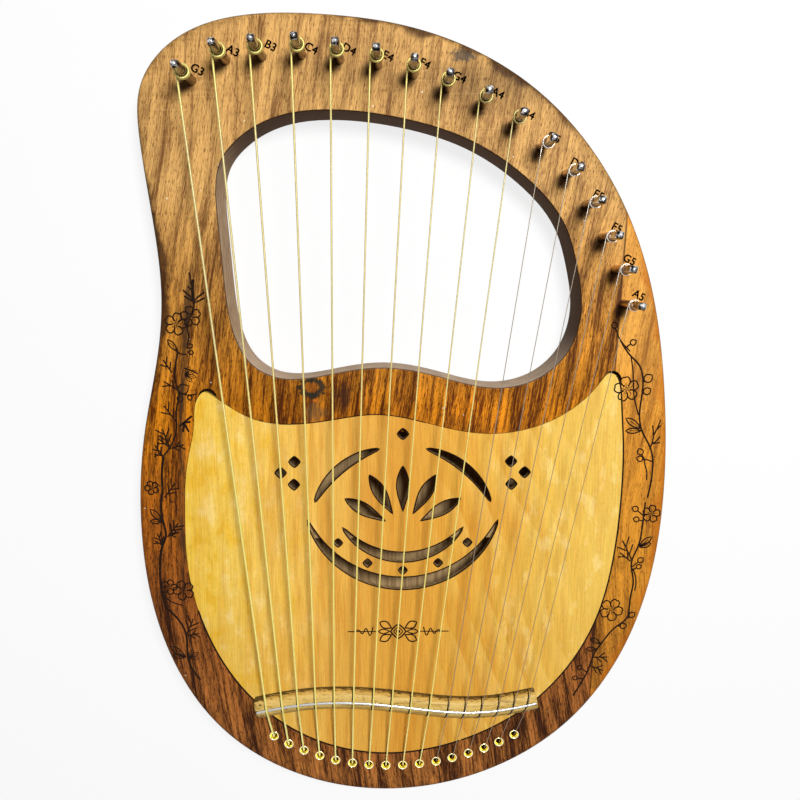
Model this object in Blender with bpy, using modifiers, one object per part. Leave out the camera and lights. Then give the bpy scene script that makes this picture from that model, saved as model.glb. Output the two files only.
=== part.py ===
"""A sixteen-string lyre harp lying on its back: X to its right, Y to its top, Z out of its face.

The origin is on the ground, below the middle of the body. Lengths are metres, written as
millimetres times MM, and the outlines were measured as seen square on the face.
"""
import math

import bmesh
import bpy
import numpy as np
from mathutils import Matrix

MM = 0.001
FIT = 0.3 * MM                    # glue line or running gap between two neighbours
CUT_PAST = 1.0 * MM               # how far a cutter runs past a face, or a joined piece goes in
CURVE_TURN = math.radians(8)      # most that an outline turns at one of its corners
CURVE_STEP = 18.0 * MM            # longest straight piece of an outline

# Body: one wooden ring with the arm window above and the sound chamber below
BODY_THICK = 26.0 * MM
BODY_ROUND = 2.5 * MM             # rounded outer edges
WINDOW_ROUND = 0.8 * MM           # broken edges of the window

# Soundboard, let into the face, and back panel, let into the back
BOARD_THICK = 3.0 * MM
BOARD_LEDGE = 8.0 * MM            # ledge that the soundboard lies on
HORN_BORE_RADIUS = 5.0 * MM       # round end that the cutter left past each horn
HORN_BORE_SIDES = 20
PANEL_THICK = 2.7 * MM
PANEL_LEDGE = 5.0 * MM

# Braces under the soundboard
BRACE_WIDE = 8.0 * MM
BRACE_DEEP = 7.0 * MM
BRACE_UPPER_Y = -56.0 * MM
BRACE_LOWER_Y = -116.0 * MM
PLATE_LONG = 92.0 * MM
PLATE_WIDE = 18.0 * MM
PLATE_THICK = 2.4 * MM
PLATE_X = -6.0 * MM
PLATE_Y = -151.0 * MM

# Bridge and the steel rod along its crest
BRIDGE_WIDE = 12.0 * MM
BRIDGE_TALL = 7.0 * MM
ROD_RADIUS = 0.8 * MM
ROD_SUNK = 0.3 * MM               # depth of the rod's axis below the bridge's crest
ROD_SHORT = 0.6 * MM              # the rod stops this far inside the bridge's ends
GROOVE_PAST = 3.0 * MM            # the rod's groove is cut this far past the bridge's ends
SADDLE_TURN = math.radians(5)     # most that the bridge turns at one of its corners

# Tuning pins
PIN_RADIUS = 2.5 * MM
PIN_STANDS = 33.0 * MM            # above the face
PIN_BURIED = 20.0 * MM            # below the face
PIN_HEAD_LONG = 12.0 * MM
PIN_HEAD_BASE = 3.6 * MM          # across the flats at the foot of the square head
PIN_HEAD_TIP = 3.0 * MM           # and at its tip
PIN_HEAD_ROUND = 0.5 * MM
PIN_EYE_RADIUS = 0.75 * MM
PIN_EYE_UP = 19.5 * MM            # string eye above the face
PIN_SIDES = 12

# Eyelets in the lower rim, with a bore for the string and a pocket for its ball behind them
FLANGE_RADIUS = 2.65 * MM
FLANGE_THICK = 0.8 * MM
TUBE_RADIUS = 1.8 * MM
TUBE_BORE = 1.35 * MM
TUBE_LONG = 6.0 * MM
STRING_BORE = 1.3 * MM
BALL_POCKET_RADIUS = 2.7 * MM
BALL_POCKET_DEEP = 8.0 * MM
EYELET_SIDES = 10

# Strings: ten wound ones, then six plain steel ones, thinner towards the high notes
WOUND_COUNT = 10
WOUND_THICK = 1.15 * MM
WOUND_STEP = 0.05 * MM            # each wound string is thinner than the last by this
PLAIN_THICK = 0.42 * MM
PLAIN_STEP = 0.02 * MM
BALL_RADIUS = 1.9 * MM
BALL_LONG = 3.5 * MM
BALL_CHAMFER = 0.38 * MM
RIM_GAP = 0.2 * MM                # string inside the eyelet's bore
RIM_BEND = [(0.12, -0.55), (0.5, -0.12), (1.2, 0.12)]   # share of the way out, rise in mm
SADDLE_FIT = 0.4 * MM             # string above the rod
COIL_TURNS = 2.25
COIL_POINTS = 10                  # per turn
COIL_GAP = 0.5 * MM               # between neighbouring turns

# Outlines, as knots of smooth curves, in millimetres and anticlockwise
BODY_KNOTS = [
    (142.0, -26.0), (139.0, 25.0), (129.5, 77.0), (106.3, 130.5), (62.0, 177.8), (-1.5, 204.6),
    (-41.0, 209.3), (-75.5, 209.0), (-102.4, 202.8), (-121.0, 190.7), (-131.0, 175.2),
    (-132.6, 150.0), (-127.2, 103.7), (-125.3, 73.4), (-127.6, 47.2), (-137.4, 0.5),
    (-142.0, -52.0), (-134.1, -113.0), (-100.2, -173.7), (-37.3, -206.9), (33.7, -203.7),
    (94.0, -168.5), (129.0, -111.8),
]
WINDOW_KNOTS = [
    (92.7, 66.0), (90.0, 85.0), (82.8, 107.2), (64.0, 129.4), (33.1, 149.2), (-1.5, 159.6),
    (-36.0, 163.4), (-63.3, 160.0), (-81.8, 150.2), (-92.2, 137.4), (-94.6, 124.0),
    (-93.8, 105.0), (-92.2, 82.0), (-89.0, 56.3), (-80.7, 37.8), (-69.2, 30.0), (-53.0, 28.4),
    (-34.8, 31.4), (-15.0, 34.1), (2.0, 33.2), (23.9, 28.2), (49.4, 23.4), (69.3, 27.5),
    (85.3, 40.8),
]
BOARD_RIGHT = [(106.2, -108.7), (114.8, -74.4), (118.0, -38.0), (117.8, -5.0), (116.0, 16.0)]
BOARD_RIGHT_HORN = [(114.6, 26.0), (112.3, 30.0), (108.9, 30.8), (106.0, 28.2)]
BOARD_TOP = [
    (99.7, 20.3), (86.3, 9.4), (68.0, 1.4), (45.0, -1.5), (21.0, 2.2), (-3.0, 8.0), (-16.0, 9.0),
    (-33.3, 6.9), (-58.9, 3.9), (-80.7, 7.2), (-94.9, 15.5),
]
BOARD_LEFT_HORN = [(-101.5, 20.0), (-104.8, 21.3), (-107.6, 19.0)]
BOARD_LEFT = [
    (-110.6, 4.8), (-114.8, -16.0), (-117.4, -45.0), (-117.4, -71.0), (-108.9, -111.0),
    (-86.0, -150.6), (-52.0, -176.6), (-10.1, -186.3), (33.1, -178.6), (72.0, -156.6),
]
HORN_BORE_SPOTS = [(-103.0, 18.2), (110.6, 27.3)]
SADDLE_KNOTS = [
    (-81.7, -157.2), (-57.9, -152.8), (-31.0, -151.5), (-3.0, -153.9), (26.0, -157.4),
    (50.0, -157.1), (74.8, -152.4),
]

# Section of the bridge as shares of its width and height, from its top side to its foot side
BRIDGE_SECTION = [
    (-0.50, 0.0), (-0.50, 0.66), (-0.40, 0.90), (-0.20, 1.0), (0.17, 1.0), (0.50, 0.38),
    (0.50, 0.0),
]

# Where each string starts, crosses the saddle and winds up, from the longest to the shortest
EYELET_SPOTS = [
    (-72.6, -174.9), (-64.4, -179.8), (-55.9, -183.8), (-47.1, -187.2), (-38.1, -190.0),
    (-28.6, -191.9), (-19.2, -193.0), (-9.6, -193.5), (0.0, -193.4), (9.5, -192.6),
    (19.0, -191.2), (28.1, -189.1), (37.3, -186.4), (46.2, -183.3), (54.6, -179.5),
    (63.1, -175.0),
]
SADDLE_X = [
    -75.2, -66.5, -57.9, -48.2, -37.9, -27.3, -16.5, -6.2, 4.2, 14.6, 24.9, 34.2, 43.3, 52.6,
    61.2, 69.0,
]
PIN_SPOTS = [
    (-104.9, 177.4), (-87.8, 187.0), (-70.0, 188.7), (-50.3, 189.7), (-31.6, 187.5),
    (-12.8, 185.0), (4.8, 180.6), (21.3, 174.2), (39.4, 166.6), (55.7, 157.0), (69.9, 145.5),
    (82.9, 132.3), (93.6, 117.3), (102.6, 100.9), (109.9, 84.8), (114.9, 67.2),
]

# Pierced rose in millimetres: two crescents with beads between them, two arches, five leaves
# and seven lozenges
ROSE_CENTRE = (0.0, -30.0)
ROSE_OUTER_RADIUS = 55.0
ROSE_OUTER_THICK = 7.0
ROSE_OUTER_ANGLES = (200, 340)
ROSE_OUTER_WEB = 1.8              # wood between the outer crescent and the beads
ROSE_BEAD_WIDE = 4.6
ROSE_BEAD_ANGLES = (222, 246, 270, 294, 318)
ROSE_INNER_WEB = 2.35             # wood between the beads and the inner crescent
ROSE_INNER_THICK = 5.5
ROSE_INNER_ANGLES = (215, 325)
ROSE_ARCH_CENTRE = (0.0, -60.0)
ROSE_ARCH_RADIUS = 52.0
ROSE_ARCH_THICK = 5.0
ROSE_ARCH_ANGLES = [(24, 76), (104, 156)]
ROSE_LEAF_ROOT = (0.0, -55.0)
ROSE_LEAF_REACH = (11.0, 36.0)
ROSE_LEAF_WIDE = 6.5
ROSE_LEAF_ANGLES = (30, 60, 90, 120, 150)
ROSE_LOZENGE_WIDE = 5.8
ROSE_LOZENGES = [
    (0.0, -1.4), (58.0, -16.5), (65.5, -22.5), (58.5, -29.0), (-58.0, -16.5), (-65.5, -22.5),
    (-58.5, -29.0),
]

# Shapes of the rose's openings
CRESCENT_COUNT = 13
CRESCENT_FULLNESS = 0.6           # below 1, the slot stays thick towards its ends
ARCH_COUNT = 9
LEAF_COUNT = 6
LEAF_FULLNESS = 0.9
LEAF_SHIFT = 1.25                 # above 1, the leaf is widest beyond its middle
LOZENGE_SWELL = 0.8               # how far its sides' middles reach, as a share of its corners


def spline(knots, closed, close=20):
    """Points along the smooth curve (cubic pieces of even curvature) through the knots."""
    knots = np.array(knots, dtype=float)
    count = len(knots)
    ahead = np.roll(knots, -1, axis=0)
    length = np.linalg.norm(ahead - knots, axis=1)
    slope = (ahead - knots) / length[:, None]
    system = np.eye(count)
    target = np.zeros_like(knots)
    for i in range(count):
        if closed or 0 < i < count - 1:
            system[i, i] = 2 * (length[i - 1] + length[i])
            system[i, i - 1] = length[i - 1]
            system[i, (i + 1) % count] = length[i]
            target[i] = 6 * (slope[i] - slope[i - 1])
    bend = np.linalg.solve(system, target)
    points = []
    for i in range(count if closed else count - 1):
        j = (i + 1) % count
        for t in np.linspace(0, 1, close, endpoint=False):
            u = 1 - t
            sag = (u ** 3 - u) * bend[i] + (t ** 3 - t) * bend[j]
            points.append(u * knots[i] + t * knots[j] + sag * length[i] ** 2 / 6)
    if not closed:
        points.append(knots[-1])
    return np.array(points)


def thin(points, closed, turn=CURVE_TURN):
    """The fewest of the points that follow the curve: one at each turn, or step of its length."""
    kept = [0]
    last = len(points) - 1
    for i in range(1, last):
        begun = points[kept[-1] + 1] - points[kept[-1]]
        now = points[i + 1] - points[i]
        angle = math.atan2(begun[0] * now[1] - begun[1] * now[0], begun @ now)
        if abs(angle) >= turn or np.linalg.norm(points[i] - points[kept[-1]]) >= CURVE_STEP:
            kept.append(i)
    if not closed:
        kept.append(last)
    return points[kept]


def aside(points, closed, amount):
    """The points moved sideways to the right of the curve: outward on an anticlockwise loop."""
    before = np.roll(points, 1, axis=0)
    after = np.roll(points, -1, axis=0)
    if not closed:
        before[0] = points[0]
        after[-1] = points[-1]
    along = after - before
    along /= np.linalg.norm(along, axis=1)[:, None]
    return points + amount * np.column_stack([along[:, 1], -along[:, 0]])


def smooth_outline(knots, grown=0.0):
    """Closed outline in metres through knots in millimetres, grown outward by some metres."""
    outline = thin(spline(knots, closed=True) * MM, closed=True)
    return aside(outline, True, grown)


def board_outline(grown=0.0):
    """The soundboard's outline with its two horns, grown outward by some metres."""
    knots = [*BOARD_RIGHT, *BOARD_RIGHT_HORN, *BOARD_TOP, *BOARD_LEFT_HORN, *BOARD_LEFT]
    return smooth_outline(knots, grown)


def inner_outline(inset):
    """The soundboard's outline without its horns, drawn in by some metres."""
    knots = np.array([*BOARD_RIGHT, *BOARD_TOP, *BOARD_LEFT])
    return smooth_outline(aside(knots, True, -inset / MM))


def width_at(outline, y):
    """Left and right ends of the outline at a height y."""
    crossings = []
    for a, b in zip(outline, np.roll(outline, -1, axis=0)):
        if (a[1] - y) * (b[1] - y) < 0:
            crossings.append(a[0] + (b[0] - a[0]) * (y - a[1]) / (b[1] - a[1]))
    return min(crossings), max(crossings)


def heading(degrees):
    """Unit vector at an angle from +X."""
    return np.array([math.cos(math.radians(degrees)), math.sin(math.radians(degrees))])


def crescent(centre, radius, thick, start, end, points=CRESCENT_COUNT):
    """Arched slot, thick in the middle and round at both ends."""
    outer = []
    inner = []
    for share in np.linspace(0, 1, points):
        half = 0.5 * thick * max(math.sin(math.pi * share), 0.0) ** CRESCENT_FULLNESS
        arm = heading(start + (end - start) * share)
        outer.append(centre + (radius + half) * arm)
        if 0 < share < 1:
            inner.append(centre + (radius - half) * arm)
    return outer + inner[::-1]


def leaf(root, near, far, wide, degrees):
    """Pointed leaf slot from near to far along a heading."""
    along = heading(degrees)
    across = heading(degrees + 90)
    right = []
    left = []
    for share in np.linspace(0, 1, LEAF_COUNT):
        half = 0.5 * wide * max(math.sin(math.pi * share ** LEAF_SHIFT), 0.0) ** LEAF_FULLNESS
        middle = root + (near + (far - near) * share) * along
        right.append(middle - half * across)
        if 0 < share < 1:
            left.append(middle + half * across)
    return right + left[::-1]


def lozenge(middle, wide):
    """Four-cornered slot with slightly swelling sides."""
    corners = []
    for eighth in range(8):
        reach = 0.5 * wide * (1.0 if eighth % 2 == 0 else LOZENGE_SWELL)
        corners.append(middle + reach * heading(45 * eighth))
    return corners


def rose_outlines():
    """Every opening of the pierced rose, in metres, each anticlockwise."""
    centre = np.array(ROSE_CENTRE)
    arch_centre = np.array(ROSE_ARCH_CENTRE)
    root = np.array(ROSE_LEAF_ROOT)
    bead_radius = ROSE_OUTER_RADIUS - ROSE_OUTER_THICK / 2 - ROSE_OUTER_WEB - ROSE_BEAD_WIDE / 2
    inner_radius = bead_radius - ROSE_BEAD_WIDE / 2 - ROSE_INNER_WEB - ROSE_INNER_THICK / 2
    openings = [
        crescent(centre, ROSE_OUTER_RADIUS, ROSE_OUTER_THICK, *ROSE_OUTER_ANGLES),
        crescent(centre, inner_radius, ROSE_INNER_THICK, *ROSE_INNER_ANGLES),
    ]
    for start, end in ROSE_ARCH_ANGLES:
        openings.append(crescent(arch_centre, ROSE_ARCH_RADIUS, ROSE_ARCH_THICK, start, end,
                                 points=ARCH_COUNT))
    for degrees in ROSE_LEAF_ANGLES:
        openings.append(leaf(root, *ROSE_LEAF_REACH, ROSE_LEAF_WIDE, degrees))
    for degrees in ROSE_BEAD_ANGLES:
        openings.append(lozenge(centre + bead_radius * heading(degrees), ROSE_BEAD_WIDE))
    for spot in ROSE_LOZENGES:
        openings.append(lozenge(np.array(spot), ROSE_LOZENGE_WIDE))
    return [np.array(opening) * MM for opening in openings]


def clear_scene():
    """Remove every object that the file opened with."""
    for item in list(bpy.data.objects):
        bpy.data.objects.remove(item, do_unlink=True)


def collection(name):
    """New collection in the scene."""
    made = bpy.data.collections.new(name)
    bpy.context.scene.collection.children.link(made)
    return made


def material(name, colour, roughness, metallic=0.0):
    """Plain finish of one colour."""
    made = bpy.data.materials.new(name)
    made.use_nodes = True
    shader = made.node_tree.nodes["Principled BSDF"]
    shader.inputs["Base Color"].default_value = (*colour, 1.0)
    shader.inputs["Roughness"].default_value = roughness
    shader.inputs["Metallic"].default_value = metallic
    return made


def place(name, mesh, finish, home, at=(0.0, 0.0, 0.0), turned=0.0):
    """Object of a mesh in a collection, at a point and turned about Z."""
    made = bpy.data.objects.new(name, mesh)
    home.objects.link(made)
    made.location = at
    made.rotation_euler = (0.0, 0.0, turned)
    if finish and not mesh.materials:
        mesh.materials.append(finish)
    return made


def as_mesh(maker, name, home):
    """Mesh of a curve or a modified object as it is evaluated, closed, in place of its maker."""
    bpy.context.view_layer.update()
    graph = bpy.context.evaluated_depsgraph_get()
    mesh = bpy.data.meshes.new_from_object(maker.evaluated_get(graph))
    mesh.name = name
    mesh.transform(maker.matrix_world)
    home.objects.unlink(maker)
    bpy.data.objects.remove(maker)
    shape = bmesh.new()
    shape.from_mesh(mesh)
    bmesh.ops.remove_doubles(shape, verts=shape.verts, dist=0.001 * MM)
    bmesh.ops.recalc_face_normals(shape, faces=shape.faces)
    shape.to_mesh(mesh)
    shape.free()
    mesh.set_sharp_from_angle(angle=math.radians(35))
    return mesh


def plate(name, outlines, low, high, home, rounding=0.0):
    """Mesh of flat outlines filled between two heights, the first one outermost."""
    curve = bpy.data.curves.new(name, "CURVE")
    curve.dimensions = "2D"
    curve.fill_mode = "BOTH"
    curve.extrude = (high - low) / 2 - rounding
    curve.bevel_depth = rounding
    curve.bevel_resolution = 1
    curve.offset = -rounding
    for outline in outlines:
        run = curve.splines.new("POLY")
        run.points.add(len(outline) - 1)
        for point, (x, y) in zip(run.points, outline):
            point.co = (x, y, 0.0, 1.0)
        run.use_cyclic_u = True
    maker = bpy.data.objects.new(name, curve)
    home.objects.link(maker)
    maker.location.z = (low + high) / 2
    return as_mesh(maker, name, home)


def swept(name, route, radii, home, section=None):
    """Mesh of a round wire, or of a flat section, along a route with a radius at each point."""
    curve = bpy.data.curves.new(name, "CURVE")
    curve.dimensions = "3D"
    curve.twist_mode = "Z_UP" if section else "MINIMUM"
    curve.bevel_mode = "OBJECT" if section else "ROUND"
    curve.bevel_object = section
    curve.bevel_depth = 1.0
    curve.bevel_resolution = 1
    curve.use_fill_caps = True
    run = curve.splines.new("POLY")
    run.points.add(len(route) - 1)
    for point, spot, radius in zip(run.points, route, radii):
        point.co = (*spot, 1.0)
        point.radius = radius
    maker = bpy.data.objects.new(name, curve)
    home.objects.link(maker)
    return as_mesh(maker, name, home)


def bores(name, spots, radius, low, high, sides, home):
    """Cutter of one upright cylinder at each spot."""
    shape = bmesh.new()
    for x, y in spots:
        made = bmesh.ops.create_cone(
            shape, cap_ends=True, segments=sides, radius1=radius, radius2=radius, depth=high - low)
        bmesh.ops.translate(shape, verts=made["verts"], vec=(x, y, (low + high) / 2))
    mesh = bpy.data.meshes.new(name)
    shape.to_mesh(mesh)
    shape.free()
    return place(name, mesh, None, home)


def box(name, size, at, finish, home):
    """Rectangular bar of some size centred at a point."""
    shape = bmesh.new()
    bmesh.ops.create_cube(shape, size=1.0)
    bmesh.ops.scale(shape, verts=shape.verts, vec=size)
    mesh = bpy.data.meshes.new(name)
    shape.to_mesh(mesh)
    shape.free()
    return place(name, mesh, finish, home, at)


def cut(target, cutter, operation="DIFFERENCE"):
    """Cut the cutter out of the target, or join it on."""
    cutter.hide_render = True
    cutter.display_type = "WIRE"
    step = target.modifiers.new(cutter.name, "BOOLEAN")
    step.operation = operation
    step.solver = "EXACT"
    step.object = cutter


def make_body(finish, home, cutters):
    """Wooden ring with its window, chamber, recesses and all the holes for pins and strings."""
    low = -CUT_PAST
    high = BODY_THICK + CUT_PAST
    body = place("body", plate("body", [smooth_outline(BODY_KNOTS)], 0.0, BODY_THICK, home,
                               BODY_ROUND), finish, home)

    opening = smooth_outline(WINDOW_KNOTS)
    window = plate("window", [opening], low, high, cutters)
    cut(body, place("window", window, None, cutters))
    for name, start, end in (("window_face_edge", BODY_THICK - WINDOW_ROUND, high),
                             ("window_back_edge", low, WINDOW_ROUND)):
        flare = aside(opening, True, WINDOW_ROUND)
        cut(body, place(name, plate(name, [flare], start, end, cutters), None, cutters))

    chamber = plate("chamber", [inner_outline(BOARD_LEDGE)], low, high, cutters)
    cut(body, place("chamber", chamber, None, cutters))
    bed = BODY_THICK - BOARD_THICK - FIT
    recess = plate("board_recess", [board_outline(FIT)], bed, high, cutters)
    cut(body, place("board_recess", recess, None, cutters))
    horns = np.array(HORN_BORE_SPOTS) * MM
    cut(body, bores("horn_bores", horns, HORN_BORE_RADIUS, bed, high, HORN_BORE_SIDES, cutters))
    recess = plate("panel_recess", [aside(inner_outline(BOARD_LEDGE - PANEL_LEDGE), True, FIT)],
                   low, PANEL_THICK + FIT, cutters)
    cut(body, place("panel_recess", recess, None, cutters))

    pins = np.array(PIN_SPOTS) * MM
    pin_bore = (PIN_RADIUS + FIT) / math.cos(math.pi / PIN_SIDES)
    cut(body, bores("pin_bores", pins, pin_bore, BODY_THICK - PIN_BURIED - FIT, high, PIN_SIDES,
                    cutters))

    eyelets = np.array(EYELET_SPOTS) * MM
    seat = (TUBE_RADIUS + FIT) / math.cos(math.pi / EYELET_SIDES)
    cut(body, bores("string_bores", eyelets, STRING_BORE, low, high, EYELET_SIDES, cutters))
    cut(body, bores("eyelet_seats", eyelets, seat, BODY_THICK - TUBE_LONG - FIT, high,
                    EYELET_SIDES, cutters))
    cut(body, bores("ball_pockets", eyelets, BALL_POCKET_RADIUS, low, BALL_POCKET_DEEP,
                    EYELET_SIDES, cutters))
    return body


def make_boards(light, dark, home):
    """Pierced soundboard, back panel, two braces and the plate below the bridge."""
    under = BODY_THICK - BOARD_THICK - FIT
    outlines = [board_outline(), *rose_outlines()]
    place("soundboard", plate("soundboard", outlines, BODY_THICK - BOARD_THICK, BODY_THICK, home),
          light, home)
    panel = plate("back_panel", [inner_outline(BOARD_LEDGE - PANEL_LEDGE)], 0.0, PANEL_THICK, home)
    place("back_panel", panel, dark, home)
    chamber = inner_outline(BOARD_LEDGE)
    for name, y in (("soundboard_brace_upper", BRACE_UPPER_Y),
                    ("soundboard_brace_lower", BRACE_LOWER_Y)):
        ends = [width_at(chamber, edge) for edge in (y - BRACE_WIDE / 2, y + BRACE_WIDE / 2)]
        left = max(end[0] for end in ends) + FIT
        right = min(end[1] for end in ends) - FIT
        size = (right - left, BRACE_WIDE, BRACE_DEEP)
        box(name, size, ((left + right) / 2, y, under - BRACE_DEEP / 2), light, home)
    size = (PLATE_LONG, PLATE_WIDE, PLATE_THICK)
    box("bridge_plate", size, (PLATE_X, PLATE_Y, under - PLATE_THICK / 2), light, home)


def saddle_line():
    """Crest of the bridge, from left to right."""
    return thin(spline(SADDLE_KNOTS, closed=False) * MM, closed=False, turn=SADDLE_TURN)


def rod_height():
    """Height of the saddle rod's axis."""
    return BODY_THICK + FIT + BRIDGE_TALL - ROD_SUNK


def make_bridge(wood, steel, home, cutters):
    """Curved bridge with a groove along its crest, and the rod that lies in it."""
    line = saddle_line()
    outline = bpy.data.curves.new("bridge_section", "CURVE")
    run = outline.splines.new("POLY")
    run.points.add(len(BRIDGE_SECTION) - 1)
    for point, (across, up) in zip(run.points, BRIDGE_SECTION):
        point.co = (across * BRIDGE_WIDE, up * BRIDGE_TALL, 0.0, 1.0)
    run.use_cyclic_u = True
    section = place("bridge_section", outline, None, cutters)
    section.hide_render = True
    route = [(x, y, BODY_THICK + FIT) for x, y in line]
    mesh = swept("bridge", route, [1.0] * len(route), home, section)
    bridge = place("bridge", mesh, wood, home)

    axis = [(x, y, rod_height()) for x, y in line]
    past = np.array([GROOVE_PAST, 0.0, 0.0])
    groove = [axis[0] - past, *axis, axis[-1] + past]
    wall = ROD_RADIUS + FIT
    cut(bridge, place("rod_groove", swept("rod_groove", groove, [wall] * len(groove), cutters),
                      None, cutters))

    inset = np.array([ROD_SHORT, 0.0, 0.0])
    run = [axis[0] + inset, *axis[1:-1], axis[-1] - inset]
    place("saddle_rod", swept("saddle_rod", run, [ROD_RADIUS] * len(run), home), steel, home)


def pin_mesh(home, cutters):
    """One tuning pin standing on its axis, with the face of the body at height zero."""
    shank = bmesh.new()
    top = PIN_STANDS - PIN_HEAD_LONG
    bmesh.ops.create_cone(shank, cap_ends=True, segments=PIN_SIDES, radius1=PIN_RADIUS,
                          radius2=PIN_RADIUS, depth=top + PIN_BURIED)
    bmesh.ops.translate(shank, verts=shank.verts, vec=(0.0, 0.0, (top - PIN_BURIED) / 2))
    mesh = bpy.data.meshes.new("pin_shank")
    shank.to_mesh(mesh)
    shank.free()
    pin = place("pin_shank", mesh, None, home)

    head = bmesh.new()
    corner = math.sqrt(0.5)
    bmesh.ops.create_cone(head, cap_ends=True, segments=4, radius1=PIN_HEAD_BASE * corner,
                          radius2=PIN_HEAD_TIP * corner, depth=PIN_HEAD_LONG + CUT_PAST)
    bmesh.ops.rotate(head, verts=head.verts, matrix=Matrix.Rotation(math.pi / 4, 3, "Z"))
    bmesh.ops.translate(head, verts=head.verts,
                        vec=(0.0, 0.0, PIN_STANDS - (PIN_HEAD_LONG + CUT_PAST) / 2))
    bmesh.ops.bevel(head, geom=head.edges[:], offset=PIN_HEAD_ROUND, segments=1, affect="EDGES")
    mesh = bpy.data.meshes.new("pin_head")
    head.to_mesh(mesh)
    head.free()
    cut(pin, place("pin_head", mesh, None, cutters), "UNION")

    eye = bmesh.new()
    made = bmesh.ops.create_cone(eye, cap_ends=True, segments=6, radius1=PIN_EYE_RADIUS,
                                 radius2=PIN_EYE_RADIUS, depth=4 * PIN_RADIUS)
    bmesh.ops.rotate(eye, verts=made["verts"], matrix=Matrix.Rotation(math.pi / 2, 3, "Y"))
    bmesh.ops.translate(eye, verts=made["verts"], vec=(0.0, 0.0, PIN_EYE_UP))
    mesh = bpy.data.meshes.new("pin_eye")
    eye.to_mesh(mesh)
    eye.free()
    cut(pin, place("pin_eye", mesh, None, cutters))
    return as_mesh(pin, "tuning_pin", home)


def eyelet_mesh(home):
    """One flanged tube, turned, with the face of the body at height zero."""
    profile = [
        (TUBE_BORE, FIT + FLANGE_THICK * 0.6),
        ((TUBE_BORE + FLANGE_RADIUS) / 2, FIT + FLANGE_THICK),
        (FLANGE_RADIUS, FIT + FLANGE_THICK * 0.4),
        (FLANGE_RADIUS, FIT),
        (TUBE_RADIUS, FIT),
        (TUBE_RADIUS, -TUBE_LONG),
        (TUBE_BORE, -TUBE_LONG),
    ]
    mesh = bpy.data.meshes.new("eyelet_profile")
    edges = [(i, (i + 1) % len(profile)) for i in range(len(profile))]
    mesh.from_pydata([(x, 0.0, z) for x, z in profile], edges, [])
    maker = place("eyelet_profile", mesh, None, home)
    turn = maker.modifiers.new("turn", "SCREW")
    turn.steps = EYELET_SIDES
    turn.render_steps = EYELET_SIDES
    turn.use_merge_vertices = True
    turn.merge_threshold = 0.01 * MM
    return as_mesh(maker, "eyelet", home)


def string_radius(number):
    """Half the thickness of a string, counted from 0 at the longest."""
    if number < WOUND_COUNT:
        return (WOUND_THICK - WOUND_STEP * number) / 2
    return (PLAIN_THICK - PLAIN_STEP * (number - WOUND_COUNT)) / 2


def string_route(number):
    """Points of a string from its ball to its tail, their radii, and the heading of its tail."""
    radius = string_radius(number)
    eyelet = np.array(EYELET_SPOTS[number]) * MM
    pin = np.array(PIN_SPOTS[number]) * MM
    line = saddle_line()
    saddle_x = SADDLE_X[number] * MM
    saddle = np.array([saddle_x, np.interp(saddle_x, line[:, 0], line[:, 1])])

    ball_top = BALL_POCKET_DEEP - FIT
    ball_low = ball_top - BALL_LONG
    route = [
        (*eyelet, ball_low), (*eyelet, ball_low + BALL_CHAMFER),
        (*eyelet, ball_top - BALL_CHAMFER), (*eyelet, ball_top),
        (*eyelet, ball_top + FIT / 2), (*eyelet, BODY_THICK),
    ]
    radii = [BALL_RADIUS - BALL_CHAMFER, BALL_RADIUS, BALL_RADIUS, BALL_RADIUS - BALL_CHAMFER,
             radius, radius]

    # Over the eyelet's rim, then up to the saddle
    away = (saddle - eyelet) / np.linalg.norm(saddle - eyelet)
    rim = BODY_THICK + 2 * FIT + FLANGE_THICK + radius
    lean = TUBE_BORE - RIM_GAP
    for out, rise in RIM_BEND:
        route.append((*(eyelet + away * lean * out), rim + rise * MM))
        radii.append(radius)
    over = rod_height() + ROD_RADIUS + SADDLE_FIT + radius
    route.append((*saddle, over))
    radii.append(radius)

    # To the left side of the pin, then clockwise round it and up to its eye
    sag = 1 / math.cos(math.pi / COIL_POINTS)
    wrap = (PIN_RADIUS + FIT + radius) * sag
    pitch = 2 * radius + COIL_GAP
    apart = saddle - pin
    start = math.atan2(apart[1], apart[0]) - math.acos(wrap / np.linalg.norm(apart))
    for step in range(round(COIL_TURNS * COIL_POINTS) + 1):
        turned = step / COIL_POINTS
        angle = start - 2 * math.pi * turned
        height = BODY_THICK + PIN_EYE_UP - pitch * (COIL_TURNS - turned)
        route.append((pin[0] + wrap * math.cos(angle), pin[1] + wrap * math.sin(angle), height))
        radii.append(radius)
    return np.array(route), radii, angle


def least_gap(route, radius):
    """Smallest clear distance between turns of a coil: points at least half a turn apart."""
    coil = route[-round(COIL_TURNS * COIL_POINTS) - 2:]
    fine = []
    for a, b in zip(coil[1:-1], coil[2:]):
        fine += [a + (b - a) * share for share in np.linspace(0, 1, 6, endpoint=False)]
    fine = np.array(fine)
    least = math.inf
    for i in range(len(fine)):
        later = fine[i + 3 * COIL_POINTS:]
        if len(later):
            least = min(least, np.linalg.norm(later - fine[i], axis=1).min())
    return least - 2 * radius


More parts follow.
